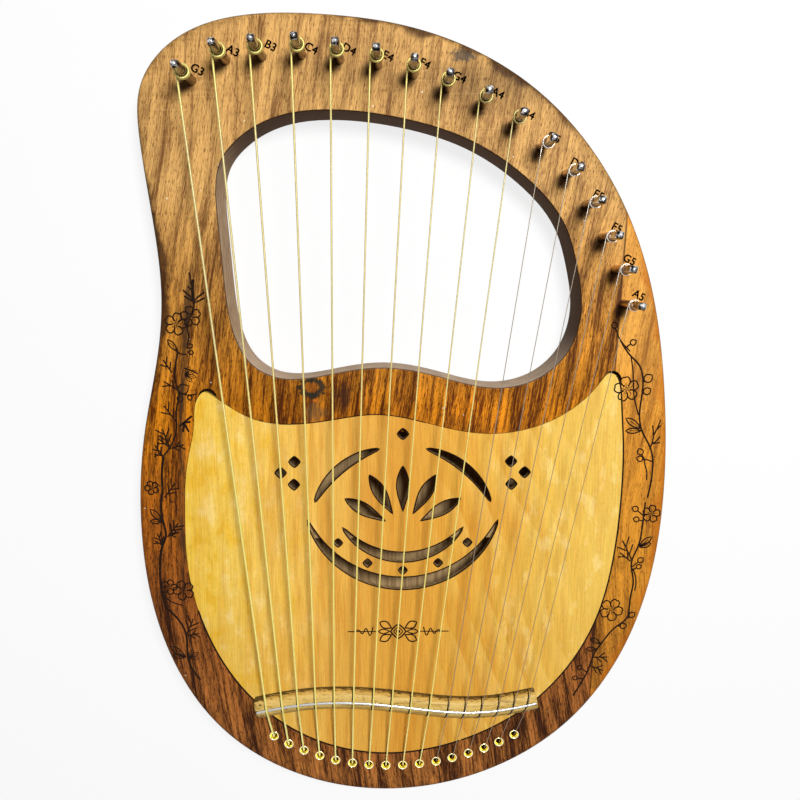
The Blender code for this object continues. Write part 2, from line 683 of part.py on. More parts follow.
def make_strings(gold, steel, chrome, brass, home, cutters):
    """Strings, the eyelets that they come out of and the pins that they wind on."""
    pin = pin_mesh(home, cutters)
    eyelet = eyelet_mesh(home)
    gaps = []
    for number, ((pin_x, pin_y), (eye_x, eye_y)) in enumerate(zip(PIN_SPOTS, EYELET_SPOTS)):
        count = f"{number + 1:02d}"
        route, radii, tail = string_route(number)
        gaps.append(least_gap(route, string_radius(number)))
        finish = gold if number < WOUND_COUNT else steel
        place(f"string_{count}", swept(f"string_{count}", route, radii, home), finish, home)
        place(f"tuning_pin_{count}", pin, chrome, home, (pin_x * MM, pin_y * MM, BODY_THICK), tail)
        place(f"eyelet_{count}", eyelet, brass, home, (eye_x * MM, eye_y * MM, BODY_THICK))
    print(f"least gap between turns of a coil: {min(gaps) / MM:.2f} mm")


def main():
    """Build the harp."""
    clear_scene()
    home = collection("lyre_harp")
    cutters = collection("cutters")
    walnut = material("walnut", (0.38, 0.20, 0.09), 0.45)
    maple = material("maple", (0.80, 0.56, 0.25), 0.4)
    olive = material("olive_wood", (0.60, 0.44, 0.19), 0.5)
    chrome = material("chrome", (0.80, 0.80, 0.82), 0.15, 1.0)
    brass = material("brass", (0.85, 0.68, 0.22), 0.2, 1.0)
    gold = material("bronze_winding", (0.80, 0.70, 0.30), 0.35, 1.0)
    steel = material("steel_wire", (0.70, 0.71, 0.73), 0.25, 1.0)
    make_body(walnut, home, cutters)
    make_boards(maple, walnut, home)
    make_bridge(olive, steel, home, cutters)
    make_strings(gold, steel, chrome, brass, home, cutters)


main()
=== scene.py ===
# %% [markdown]
# # A lyre harp with sixteen strings
#
# The harp is one wooden ring with an arm window above and a sound chamber below. A thin
# soundboard is let into its face, and sixteen strings run from brass eyelets over a steel rod
# up to the tuning pins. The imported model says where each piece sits, so every cell below makes
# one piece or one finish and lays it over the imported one. All shapes are drawn in millimetres.

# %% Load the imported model
import math

import bmesh
import bpy
import numpy as np
from mathutils import Matrix, Vector


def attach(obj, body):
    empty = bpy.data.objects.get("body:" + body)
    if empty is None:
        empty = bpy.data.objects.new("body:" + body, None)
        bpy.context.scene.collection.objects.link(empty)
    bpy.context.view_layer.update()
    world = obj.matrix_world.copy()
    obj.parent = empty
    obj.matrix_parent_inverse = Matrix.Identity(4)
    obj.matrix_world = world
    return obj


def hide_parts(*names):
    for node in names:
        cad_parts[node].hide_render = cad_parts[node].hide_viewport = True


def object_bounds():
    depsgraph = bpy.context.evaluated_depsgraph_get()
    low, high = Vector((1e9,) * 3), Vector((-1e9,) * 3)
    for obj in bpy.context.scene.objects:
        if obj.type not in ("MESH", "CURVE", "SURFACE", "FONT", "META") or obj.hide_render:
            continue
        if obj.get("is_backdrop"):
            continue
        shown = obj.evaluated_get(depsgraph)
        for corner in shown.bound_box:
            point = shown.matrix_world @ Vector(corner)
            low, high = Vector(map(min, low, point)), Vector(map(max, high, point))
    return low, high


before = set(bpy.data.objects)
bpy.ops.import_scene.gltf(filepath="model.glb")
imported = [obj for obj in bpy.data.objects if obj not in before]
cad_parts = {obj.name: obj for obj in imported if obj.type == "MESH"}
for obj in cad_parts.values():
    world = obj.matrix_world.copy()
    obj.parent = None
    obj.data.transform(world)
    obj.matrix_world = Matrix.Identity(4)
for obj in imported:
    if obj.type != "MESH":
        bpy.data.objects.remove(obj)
PACKED_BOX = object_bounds()
MM = 0.001
BODY_THICK = 26.0
FIT = 0.3
home = bpy.context.scene.collection
print("packed size in mm:", [round(side / MM, 1) for side in PACKED_BOX[1] - PACKED_BOX[0]])

# %% [markdown]
# ## Camera
#
# The photograph looks down on the harp from about 41 cm above its face. One pixel of it looks
# exactly straight down, which fixes the tilt: written as a direction in the camera's own axes,
# it is the world's downward direction. The three world axes, seen from the camera, are then the
# rows of the matrix that turns the camera.

# %% Camera over the face
PHOTO_PIXELS = 800.0
FOCAL_PIXELS = 788.0
STRAIGHT_DOWN_PIXEL = (-10.0, 125.0)
EYE = Vector((-6.7, 82.2, 437.5)) * MM

down = Vector((*STRAIGHT_DOWN_PIXEL, -FOCAL_PIXELS)).normalized()
world_z = -down
world_y = Vector((0.0, -down.z, down.y)).normalized()
world_x = world_y.cross(world_z)

lens = bpy.data.cameras.new("camera")
lens.sensor_width = 36.0
lens.lens = FOCAL_PIXELS / PHOTO_PIXELS * lens.sensor_width
lens.clip_start = 0.01
camera = bpy.data.objects.new("camera", lens)
home.objects.link(camera)
turned = Matrix((world_x, world_y, world_z)).to_4x4()
camera.matrix_world = Matrix.Translation(EYE) @ turned
bpy.context.scene.camera = camera
bpy.context.scene.view_settings.view_transform = "Standard"
print(f"lens {lens.lens:.2f} mm")

# %% [markdown]
# ## Light
#
# The shadows of the pins fan out from a point up and to the right, so the main lamp hangs there,
# a metre above the harp. It is a disk, because the shadows are dark at the foot of each pin and
# soft at their tips. The world fills the shadows a little. What the camera, glass and metal see
# of the world is plain white, which Light Path switches on for those rays only. The floor is
# white paper. It glows a little where the camera sees it, so that it comes out white and still
# keeps the harp's shadow, and it is greyer for the light that it throws back on the harp.

# %% Lamp, world and floor
LAMP_SPOT = Vector((230.0, 370.0, 1020.0)) * MM
LAMP_WIDE = 330.0 * MM
LAMP_WATTS = 13.5
FILL = 0.08
PAPER_SEEN = 0.88
PAPER_BOUNCE = 0.4
PAPER_GLOW = 0.82
FLOOR_REACH = 12.0
FLOOR_DROP = 0.05 * MM

lamp = bpy.data.lights.new("lamp", "AREA")
lamp.shape = "DISK"
lamp.size = LAMP_WIDE
lamp.energy = LAMP_WATTS
lamp_holder = bpy.data.objects.new("lamp", lamp)
home.objects.link(lamp_holder)
lamp_holder.location = LAMP_SPOT
lamp_holder.rotation_euler = LAMP_SPOT.to_track_quat("Z", "Y").to_euler()


def seen_or_mirrored(tree):
    """Socket that is 1 for what the camera sees directly, in a mirror or through glass."""
    rays = tree.nodes.new("ShaderNodeLightPath").outputs
    total = rays["Is Camera Ray"]
    for kind in ("Is Glossy Ray", "Is Transmission Ray"):
        larger = tree.nodes.new("ShaderNodeMath")
        larger.operation = "MAXIMUM"
        tree.links.new(total, larger.inputs[0])
        tree.links.new(rays[kind], larger.inputs[1])
        total = larger.outputs[0]
    return total


world = bpy.data.worlds.new("white_room")
world.use_nodes = True
bpy.context.scene.world = world
backdrop = world.node_tree.nodes["Background"]
backdrop.inputs["Color"].default_value = (1.0, 1.0, 1.0, 1.0)
strength = world.node_tree.nodes.new("ShaderNodeMapRange")
strength.inputs["To Min"].default_value = FILL
world.node_tree.links.new(seen_or_mirrored(world.node_tree), strength.inputs["Value"])
world.node_tree.links.new(strength.outputs["Result"], backdrop.inputs["Strength"])

paper = bpy.data.materials.new("white_paper")
paper.use_nodes = True
tree = paper.node_tree
tree.nodes.remove(tree.nodes["Principled BSDF"])
matt = tree.nodes.new("ShaderNodeBsdfDiffuse")
grey = tree.nodes.new("ShaderNodeMapRange")
grey.inputs["To Min"].default_value = PAPER_BOUNCE
grey.inputs["To Max"].default_value = PAPER_SEEN
glow = tree.nodes.new("ShaderNodeEmission")
share = tree.nodes.new("ShaderNodeMapRange")
share.inputs["To Max"].default_value = PAPER_GLOW
both = tree.nodes.new("ShaderNodeMixShader")
seen_rays = seen_or_mirrored(tree)
tree.links.new(seen_rays, grey.inputs["Value"])
tree.links.new(grey.outputs["Result"], matt.inputs["Color"])
tree.links.new(seen_rays, share.inputs["Value"])
tree.links.new(share.outputs["Result"], both.inputs["Fac"])
tree.links.new(matt.outputs[0], both.inputs[1])
tree.links.new(glow.outputs[0], both.inputs[2])
tree.links.new(both.outputs[0], tree.nodes["Material Output"].inputs["Surface"])

sheet = bpy.data.meshes.new("floor")
corners = ((-1, -1), (1, -1), (1, 1), (-1, 1))
sheet.from_pydata([(x * FLOOR_REACH, y * FLOOR_REACH, 0) for x, y in corners], [], [(0, 1, 2, 3)])
sheet.materials.append(paper)
floor = bpy.data.objects.new("floor", sheet)
floor.location.z = -FLOOR_DROP
home.objects.link(floor)
floor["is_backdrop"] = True
print("lamp at", [round(n, 2) for n in LAMP_SPOT])

# %% [markdown]
# ## Shorthand for finishes
#
# A finish is a tree of small nodes. Written out in full each node takes several lines, so this
# class keeps the tree and makes one node a call. Numbers that come out of a node can be added,
# subtracted and multiplied like any others, and each sum makes its own node. A coat is a colour
# laid over what is there so far. Colours are given as seen on a screen and turned into the
# linear ones that Blender mixes.

# %% Finish, a short way to write a material
def seen(red, green, blue):
    """Linear colour of a screen colour whose parts run to 255."""
    def linear(part):
        part /= 255.0
        return part / 12.92 if part <= 0.04045 else ((part + 0.055) / 1.055) ** 2.4
    return (linear(red), linear(green), linear(blue), 1.0)


class Number:
    """A number that a finish works out at each place, to be reckoned with like any other."""

    def __init__(self, finish, socket):
        self.finish = finish
        self.socket = socket

    def __add__(self, other):
        return self.finish.math("ADD", self, other)

    def __sub__(self, other):
        return self.finish.math("SUBTRACT", self, other)

    def __mul__(self, other):
        return self.finish.math("MULTIPLY", self, other)

    def __truediv__(self, other):
        return self * (1 / other)

    def __abs__(self):
        return self.finish.math("ABSOLUTE", self)


class Finish:
    """A new material and shorthand for its nodes."""

    def __init__(self, name, roughness=0.5, metallic=0.0, gloss=0.3):
        self.material = bpy.data.materials.new(name)
        self.material.use_nodes = True
        self.tree = self.material.node_tree
        self.shader = self.tree.nodes["Principled BSDF"]
        self.shader.inputs["Roughness"].default_value = roughness
        self.shader.inputs["Metallic"].default_value = metallic
        self.shader.inputs["Specular IOR Level"].default_value = gloss
        metres = self.node("ShaderNodeTexCoord").outputs["Object"]
        self.spot = self.vector("MULTIPLY", metres, (1 / MM, 1 / MM, 1 / MM))
        split = self.node("ShaderNodeSeparateXYZ", {0: self.spot}).outputs
        self.x, self.y, self.z = (Number(self, socket) for socket in split)

    def feed(self, socket, value):
        """Link a socket to a value, or set it where the value is the same everywhere."""
        if isinstance(value, Number):
            value = value.socket
        if isinstance(value, bpy.types.NodeSocket):
            self.tree.links.new(value, socket)
        else:
            socket.default_value = value

    def node(self, kind, feeds=None, **settings):
        made = self.tree.nodes.new(kind)
        for name, value in settings.items():
            setattr(made, name, value)
        for socket, value in (feeds or {}).items():
            self.feed(made.inputs[socket], value)
        return made

    def math(self, operation, *values):
        made = self.node("ShaderNodeMath", dict(enumerate(values)), operation=operation)
        return Number(self, made.outputs[0])

    def vector(self, operation, *values):
        made = self.node("ShaderNodeVectorMath", dict(enumerate(values)), operation=operation)
        if operation in ("LENGTH", "DISTANCE", "DOT_PRODUCT"):
            return Number(self, made.outputs["Value"])
        return made.outputs[0]

    def point(self, x, y, z):
        return self.node("ShaderNodeCombineXYZ", {0: x, 1: y, 2: z}).outputs[0]

    def stretched(self, *shares):
        """The place, with its x, y and z each multiplied by a share."""
        return self.vector("MULTIPLY", self.spot, shares)

    def facing(self, *direction):
        """How far the surface turns towards a direction, from -1 to 1."""
        normal = self.node("ShaderNodeNewGeometry").outputs["Normal"]
        return self.vector("DOT_PRODUCT", normal, direction)

    def stored(self, name):
        """A number that the mesh carries at each of its points."""
        return Number(self, self.node("ShaderNodeAttribute", attribute_name=name).outputs["Fac"])

    def noise(self, where, detail=2.0, rough=0.5, warp=0.0):
        feeds = {"Vector": where, "Scale": 1.0, "Detail": detail, "Roughness": rough,
                 "Distortion": warp}
        return Number(self, self.node("ShaderNodeTexNoise", feeds).outputs["Fac"])

    def span(self, value, low, high, start=0.0, end=1.0, kind="SMOOTHSTEP"):
        """Number from start to end while the value goes from low to high."""
        feeds = {"Value": value, "From Min": low, "From Max": high, "To Min": start,
                 "To Max": end}
        made = self.node("ShaderNodeMapRange", feeds, interpolation_type=kind)
        return Number(self, made.outputs["Result"])

    def blot(self, centre, reach, edge=0.5, wobble=0.25, grain=0.15):
        """1 inside a rough oval at a place, falling to 0 outside it."""
        apart = self.vector("SUBTRACT", self.spot, (*centre, 0.0))
        shares = (1 / reach[0], 1 / reach[1], 0.0)
        far = self.vector("LENGTH", self.vector("MULTIPLY", apart, shares))
        rough = (self.noise(self.stretched(grain, grain, 0.0), 3.0) - 0.5) * wobble
        return self.span(far + rough, 1.0, 1.0 - edge)

    def ramp(self, value, stops):
        """Colour that goes through screen colours, each at its own value."""
        made = self.node("ShaderNodeValToRGB", {0: value})
        steps = made.color_ramp.elements
        while len(steps) < len(stops):
            steps.new(1.0)
        for step, (place, colour) in zip(steps, stops.items()):
            step.position = place
            step.color = seen(*colour)
        return made.outputs["Color"]

    def mix(self, share, first, second, blend="MIX"):
        made = self.node("ShaderNodeMix", data_type="RGBA", blend_type=blend)
        self.feed(made.inputs[0], share)
        for socket, colour in ((6, first), (7, second)):
            self.feed(made.inputs[socket], seen(*colour) if isinstance(colour, tuple) else colour)
        return made.outputs[2]

    def colour(self, value):
        self.base = value
        self.feed(self.shader.inputs["Base Color"], value)

    def coat(self, share, colour, blend="MIX"):
        """Lay a colour over the finish in a share of it."""
        self.colour(self.mix(share, self.base, colour, blend))

    def shade(self, value):
        """Make the finish darker or lighter by a number all its own at each place."""
        grey = self.node("ShaderNodeCombineColor", {0: value, 1: value, 2: value}).outputs[0]
        self.coat(1.0, grey, "MULTIPLY")

    def roughness(self, value):
        self.feed(self.shader.inputs["Roughness"], value)

    def bump(self, height, depth, distance=0.1):
        feeds = {"Height": height, "Strength": depth, "Distance": distance * MM}
        self.feed(self.shader.inputs["Normal"], self.node("ShaderNodeBump", feeds).outputs[0])


print("finish shorthand ready")

# %% [markdown]
# ## Wood of the body
#
# The ring is sawn from a ring-porous brown wood: golden above, dark red-brown round the lower
# rim. Each place has a light and a dark colour that follow its height, and a darkness between
# them made of layers of noise, squeezed across the grain and drawn out along it: growth rings
# with one sharp side, broad bands, streaks, fine lines, fibres and the short dashes of the
# pores. The right edge is a second plank with its own, more orange colour.

# %% Body wood
GRAIN_LEAN = 0.16
GRAIN_TURNS_AT = -60.0
GRAIN_BEND = 60.0


def up_the_harp(finish):
    """0 at the harp's foot and 1 at its top."""
    return finish.span(finish.y, -210.0, 210.0, kind="LINEAR")


def across_grain(wood):
    """Place across the grain, whose lines lean one way above a height and the other below."""
    above = wood.y - GRAIN_TURNS_AT
    bow = wood.math("SQRT", above * above + GRAIN_BEND ** 2)
    drift = wood.noise(wood.stretched(0.010, 0.009, 0.0), 1.0)
    return drift * 8.0 + (bow * -GRAIN_LEAN + wood.x)


def along_grain(wood, across, width, length, seed=0.0, **settings):
    """Noise whose features have about this width across the grain and length along it."""
    where = wood.point(across / width + seed, wood.y / length, wood.z / width)
    return wood.noise(where, **settings)


def growth_rings(wood, across, apart):
    """Bands that darken slowly across the grain and end at a sharp edge."""
    sway = along_grain(wood, across, 40.0, 170.0, detail=1.0)
    share = wood.math("FRACT", sway * 3.0 + across / apart)
    return wood.span(share, 0.25, 0.95) * wood.span(share, 1.0, 0.95)


body_wood = Finish("body_wood", roughness=0.5, gloss=0.06)
height = up_the_harp(body_wood)
light = body_wood.ramp(height, {
    0.00: (204, 130, 64), 0.14: (186, 114, 54), 0.28: (166, 94, 38), 0.41: (204, 116, 28),
    0.53: (236, 146, 26), 0.64: (216, 148, 56), 0.80: (228, 177, 104)})
dark = body_wood.ramp(height, {
    0.00: (60, 30, 14), 0.20: (46, 22, 10), 0.40: (50, 22, 8), 0.53: (84, 36, 2),
    0.64: (84, 46, 14), 0.82: (120, 80, 42)})
plank_light = body_wood.ramp(height, {
    0.12: (200, 130, 48), 0.30: (224, 150, 48), 0.50: (236, 160, 54), 0.64: (238, 172, 78)})
plank_dark = body_wood.ramp(height, {
    0.12: (62, 34, 16), 0.30: (110, 62, 20), 0.50: (132, 78, 26), 0.64: (150, 96, 40)})
past_joint = body_wood.x - (body_wood.y * 0.035 + 110.8)
second = body_wood.span(past_joint, -0.2, 0.2, kind="LINEAR")

across = across_grain(body_wood)
rings = growth_rings(body_wood, across, 11.0)
bands = along_grain(body_wood, across, 8.0, 110.0, seed=7.0, detail=2.0)
streaks = along_grain(body_wood, across, 1.7, 26.0, detail=4.0, rough=0.66, warp=0.3)
lines = along_grain(body_wood, across, 1.1, 60.0, seed=9.0, detail=2.0)
fibres = along_grain(body_wood, across, 0.5, 8.0, seed=3.0, detail=3.0, rough=0.6)
pores = along_grain(body_wood, across, 0.32, 2.6, seed=5.0, detail=1.0)
stains = body_wood.noise(body_wood.point(across * 0.11, body_wood.y * 0.022, 0.0), 4.0, 0.6)
dashes = body_wood.span(pores, 0.42, 0.32, 0.0, 0.64)

darkness = body_wood.span(bands, 0.57, 0.43) * 0.38
darkness += body_wood.span(streaks, 0.55, 0.42) * 0.40
darkness *= body_wood.span(body_wood.y, 150.0, 20.0, 0.4, 1.0)
darkness += rings * 0.24
darkness += body_wood.span(lines, 0.42, 0.35) * 0.28
darkness += body_wood.span(fibres, 0.58, 0.40) * 0.34
darkness *= second * -0.35 + 1.0
darkness += body_wood.span(stains, 0.48, 0.74, -0.08, 0.34)
darkness += dashes
body_wood.colour(body_wood.mix(body_wood.span(darkness, 0.0, 1.0, kind="LINEAR"),
                               body_wood.mix(second, light, plank_light),
                               body_wood.mix(second, dark, plank_dark)))
body_wood.roughness(body_wood.span(fibres, 0.2, 0.8, 0.58, 0.44, "LINEAR"))
body_wood.bump(fibres - dashes, 0.3)
print("grain of the body wood:", len(body_wood.tree.nodes), "nodes")

# %% [markdown]
# Wood is never even. Broad patches are darker or lighter, faint saw marks run across the grain
# at the top, a dark stripe runs down beside the left vine, and there are two knots, the larger
# one with a ring round its heart, and a few specks of dust.

# %% Patches, saw marks and knots of the body wood
for centre, reach, factor in (
    ((-75.0, 14.0), (44.0, 26.0), 0.76), ((44.0, 176.0), (52.0, 20.0), 0.58),
    ((36.0, 12.0), (24.0, 16.0), 1.45), ((88.0, 26.0), (16.0, 14.0), 0.8),
    ((100.0, 56.0), (14.0, 30.0), 1.4), ((-26.0, 184.0), (54.0, 22.0), 0.84),
):
    patch = body_wood.blot(centre, reach, edge=0.85, wobble=1.1, grain=0.055)
    body_wood.shade(body_wood.span(patch, 0.0, 1.0, 1.0, factor, "LINEAR"))

sawn = body_wood.noise(body_wood.stretched(0.035, 1.0, 0.0), 3.0)
left_by_plane = body_wood.noise(body_wood.stretched(0.022, 0.035, 0.0), 2.0)
rough_sawn = body_wood.span(body_wood.y, 105.0, 150.0, 0.0, 0.2)
rough_sawn *= body_wood.span(left_by_plane, 0.42, 0.60)
body_wood.coat(body_wood.span(sawn, 0.52, 0.70) * rough_sawn, (112, 72, 38))
body_wood.coat(body_wood.span(sawn, 0.46, 0.30) * rough_sawn, (226, 180, 116))

bend = body_wood.math("MAXIMUM", body_wood.y, 22.0) * 0.05
from_stripe = abs(body_wood.x - (body_wood.y * 0.044 - 117.9) - bend)
stripe = body_wood.span(from_stripe, 2.5, 0.7) * body_wood.span(body_wood.y, 100.0, 70.0)
stripe *= body_wood.span(body_wood.y, -100.0, -60.0) * body_wood.span(streaks, 0.3, 0.6, 0.95, 0.5)
body_wood.coat(stripe, (66, 46, 28))

knot_by_pin = body_wood.blot((29.5, 189.5), (7.5, 3.8), wobble=1.4, grain=0.5)
body_wood.coat(knot_by_pin * 0.8, (70, 64, 58))
knot_heart = body_wood.blot((-48.0, 23.4), (8.0, 6.4), edge=0.25, wobble=0.9, grain=0.4)
knot_inside = body_wood.blot((-48.4, 23.8), (4.8, 3.2), edge=0.4, wobble=0.9, grain=0.4)
body_wood.coat(knot_inside * 0.5, (150, 84, 24))
body_wood.coat((knot_heart - knot_inside) * 0.93, (34, 36, 28))
for centre, reach, colour, share in (
    ((-47.0, 10.5), (10.0, 8.0), (96, 76, 50), 0.6),
    ((-32.0, 19.0), (8.0, 12.0), (52, 27, 14), 0.8),
    ((-46.2, 16.8), (2.0, 1.2), (214, 108, 30), 0.6),
):
    patch = body_wood.blot(centre, reach, edge=0.8, wobble=1.1, grain=0.25)
    body_wood.coat(patch * share, colour)

dust = body_wood.node("ShaderNodeTexVoronoi", {
    "Vector": body_wood.stretched(0.09, 0.09, 0.0), "Scale": 1.0}).outputs["Distance"]
body_wood.coat(body_wood.span(dust, 0.045, 0.03, 0.0, 0.8), (244, 236, 220))
print("with its patches and knots:", len(body_wood.tree.nodes), "nodes")

# %% [markdown]
# Each pin has a painted shadow by its foot, on the side away from the lamp, and the glue line
# between the planks is a fine dark one. Towards the outer edge the second plank glows more orange,
# and the arch at the upper right and the left arm are smoked dark. The mesh carries how near the
# edge each place is, and the upright walls are darker than the face.

# %% Painted pin shadows, glue line and edges of the body wood
PIN_SPOTS = [
    (-104.9, 177.4), (-87.8, 187.0), (-70.0, 188.7), (-50.3, 189.7), (-31.6, 187.5),
    (-12.8, 185.0), (4.8, 180.6), (21.3, 174.2), (39.4, 166.6), (55.7, 157.0), (69.9, 145.5),
    (82.9, 132.3), (93.6, 117.3), (102.6, 100.9), (109.9, 84.8), (114.9, 67.2),
]
PIN_SHADOW_AWAY = 3.6

# A dark patch by the foot of each pin, on its side away from the lamp, is a painted shadow of the
# pin.
from_pin_shadow = 99.0
for spot in PIN_SPOTS:
    away = (Vector(spot) - LAMP_SPOT.xy / MM).normalized()
    middle = (*(Vector(spot) + PIN_SHADOW_AWAY * away), BODY_THICK)
    apart = body_wood.vector("DISTANCE", body_wood.spot, middle)
    from_pin_shadow = body_wood.math("MINIMUM", from_pin_shadow, apart)
body_wood.coat(body_wood.span(from_pin_shadow, 5.6, 1.8, 0.0, 0.8), (46, 24, 10))
body_wood.coat(body_wood.span(abs(past_joint), 0.7, 0.15, 0.0, 0.8), (60, 32, 14))

uneven = body_wood.noise(body_wood.stretched(0.07, 0.07, 0.0), 4.0)
at_edge = body_wood.stored("edge") + body_wood.span(uneven, 0.3, 0.7, -0.35, 0.35, "LINEAR")
body_wood.coat(body_wood.span(at_edge, 0.35, 0.95, 0.0, 0.5) * second, (222, 124, 28))
upright = body_wood.span(abs(body_wood.facing(0.0, 0.0, 1.0)), 0.9, 0.3, 0.0, 0.85)
body_wood.coat(upright, (62, 34, 17))
right_top = body_wood.blot((40.0, 196.0), (96.0, 62.0), edge=0.4)
left_arm = body_wood.blot((-130.0, 84.0), (18.0, 66.0), edge=0.5)
smoked = body_wood.span(at_edge, 0.45, 0.95)
smoked *= body_wood.span(right_top, 0.0, 1.0, 0.22, 0.85, "LINEAR")
narrow = body_wood.span(at_edge, 0.5, 0.95) * left_arm * 0.85
body_wood.coat(body_wood.math("MAXIMUM", smoked, narrow), (50, 26, 14))
print("body wood in all:", len(body_wood.tree.nodes), "nodes")

# %% [markdown]
# ## Wood of the soundboard
#
# The soundboard is a pale yellow maple. It is deeper yellow at the far left, more orange in the
# middle, and at the right its figure shows as soft bands that lean against the grain: a saw-tooth
# wave, sharp on one side and fading on the other, wavered by noise.

# %% Soundboard wood
board_wood = Finish("soundboard_wood", roughness=0.45, gloss=0.15)
board_wood.colour(board_wood.ramp(board_wood.span(board_wood.x, -120.0, 120.0, kind="LINEAR"), {
    0.00: (240, 198, 72), 0.14: (240, 200, 92), 0.32: (234, 184, 84), 0.50: (220, 158, 58),
    0.66: (226, 168, 62), 0.86: (233, 188, 80), 1.00: (234, 194, 90)}))
board_wood.coat(board_wood.span(board_wood.y, -70.0, -140.0, 0.0, 0.3), (218, 162, 66))

from_middle = abs(board_wood.x)
clouds = board_wood.noise(board_wood.stretched(0.11, 0.06, 0.0), 4.0, 0.62)
deep = board_wood.span(clouds, 0.50, 0.34) * board_wood.span(board_wood.x, -20.0, -95.0)
board_wood.coat(deep * 0.75, (232, 180, 40))
pale = board_wood.span(clouds, 0.52, 0.68) * board_wood.span(from_middle, 25.0, 80.0)
board_wood.coat(pale * 0.6, (252, 222, 142))
plumes = along_grain(board_wood, board_wood.x, 5.0, 70.0, detail=3.0, rough=0.6)
flush = board_wood.span(plumes, 0.56, 0.38, 0.0, 0.55)
flush *= board_wood.span(from_middle, 95.0, 40.0, 0.35, 1.0)
board_wood.coat(flush, (206, 138, 44))
warm = board_wood.blot((45.0, -48.0), (34.0, 22.0), edge=0.9, wobble=1.2, grain=0.06)
board_wood.coat(warm * 0.5, (216, 146, 44))

BAND_WIDE = 13.5
waver = along_grain(board_wood, board_wood.x, 70.0, 120.0, seed=4.0, detail=1.0)
slant = waver * 40.0 + (board_wood.y * 0.40 + board_wood.x * 0.92)
saw = board_wood.math("FRACT", slant / BAND_WIDE)
patchy = along_grain(board_wood, board_wood.x, 22.0, 30.0, seed=8.0, detail=2.0)
figured = board_wood.span(board_wood.x, 5.0, 40.0) * board_wood.span(board_wood.x, 112.0, 90.0)
figured *= board_wood.span(patchy, 0.34, 0.56, 0.2, 1.0)
flame = board_wood.span(saw, 0.1, 0.94) * board_wood.span(saw, 1.0, 0.94) * figured
board_wood.coat(flame * 0.32, (250, 212, 112))

hairs = along_grain(board_wood, board_wood.x, 0.6, 16.0, seed=1.0, detail=3.0)
flecks = along_grain(board_wood, board_wood.x, 0.35, 2.4, seed=2.0, detail=1.0)
board_wood.shade(board_wood.span(hairs, 0.25, 0.75, 0.84, 1.13, "LINEAR"))
board_wood.coat(board_wood.span(flecks, 0.40, 0.30, 0.0, 0.28), (176, 118, 48))
board_wood.roughness(board_wood.span(hairs, 0.2, 0.8, 0.5, 0.38, "LINEAR"))
board_wood.bump(hairs, 0.12)
print("soundboard wood has", len(board_wood.tree.nodes), "nodes")

# %% [markdown]
# ## Sawn, burnt and painted wood
#
# Four quieter woods: the dull grey-brown paint of the window's wall, with painted shade at its upper
# right, away from the lamp, and painted light low down; the black-brown of all that a hot laser has
# cut or drawn, which also colours the painted shadows of the strings and the painted shade along the
# soundboard's seam; the bare wood of the panel and braces inside; and the olive-yellow bridge. The
# mesh of the bridge carries how much of the scorch round its feet and at its left end each place
# gets.

# %% Quiet woods
window_paint = Finish("window_paint", roughness=0.75, gloss=0.05)
smears = window_paint.noise(window_paint.stretched(0.12, 0.12, 0.5), 4.0, 0.6)
window_paint.colour(window_paint.ramp(smears, {
    0.3: (164, 130, 104), 0.55: (198, 166, 130), 0.75: (222, 198, 164)}))
# The walls at the upper right, away from the lamp, are painted dark: painted shade.
toward_painted_shade = window_paint.x * 0.6 + window_paint.y
window_paint.coat(window_paint.span(toward_painted_shade, 66.0, 108.0, 0.0, 0.93), (92, 68, 52))
# Low down the walls are painted paler: painted light where the lamp falls on them.
window_paint.coat(window_paint.span(window_paint.y, 56.0, 36.0, 0.0, 0.3), (240, 222, 204))
upward = window_paint.facing(0.0, 0.0, 1.0)
window_paint.coat(window_paint.span(upward, 0.15, 0.5, 0.0, 0.85), (44, 26, 16))
window_paint.bump(smears, 0.25)

# Char of burnt wood, which also colours the painted shadows of the strings and the painted shade in
# the soundboard's seam.
burnt_and_shade = Finish("burnt_wood", roughness=0.85, gloss=0.1)
char = burnt_and_shade.noise(burnt_and_shade.stretched(0.9, 0.9, 0.9), 3.0)
burnt_and_shade.colour(burnt_and_shade.ramp(char, {0.35: (18, 10, 6), 0.7: (48, 27, 15)}))
burnt_and_shade.bump(char, 0.4)

bare_wood = Finish("bare_wood", roughness=0.7, gloss=0.2)
growth = along_grain(bare_wood, bare_wood.x, 1.6, 60.0, detail=4.0)
bare_wood.colour(bare_wood.ramp(growth, {
    0.3: (132, 104, 66), 0.5: (172, 142, 98), 0.7: (190, 162, 118)}))
bare_wood.bump(growth, 0.3)

bridge_wood = Finish("bridge_wood", roughness=0.5)
years = bridge_wood.noise(bridge_wood.stretched(0.05, 0.55, 0.55), 4.0, 0.65, warp=0.4)
bridge_wood.colour(bridge_wood.ramp(years, {
    0.28: (132, 98, 38), 0.40: (198, 160, 76), 0.60: (222, 188, 106), 0.80: (190, 150, 68)}))
spots = bridge_wood.noise(bridge_wood.stretched(0.35, 0.8, 1.0), 3.0)
bridge_wood.coat(bridge_wood.span(spots, 0.43, 0.3, 0.0, 0.6), (116, 84, 34))
ragged = (spots - 0.5) * 2.2 + bridge_wood.stored("scorch")
bridge_wood.coat(bridge_wood.span(ragged, 0.26, 0.58, 0.0, 0.9), (50, 38, 16))
bridge_wood.bump(years, 0.3)
print("quiet woods:", window_paint.material.name, burnt_and_shade.material.name, bare_wood.material.name,
      bridge_wood.material.name)

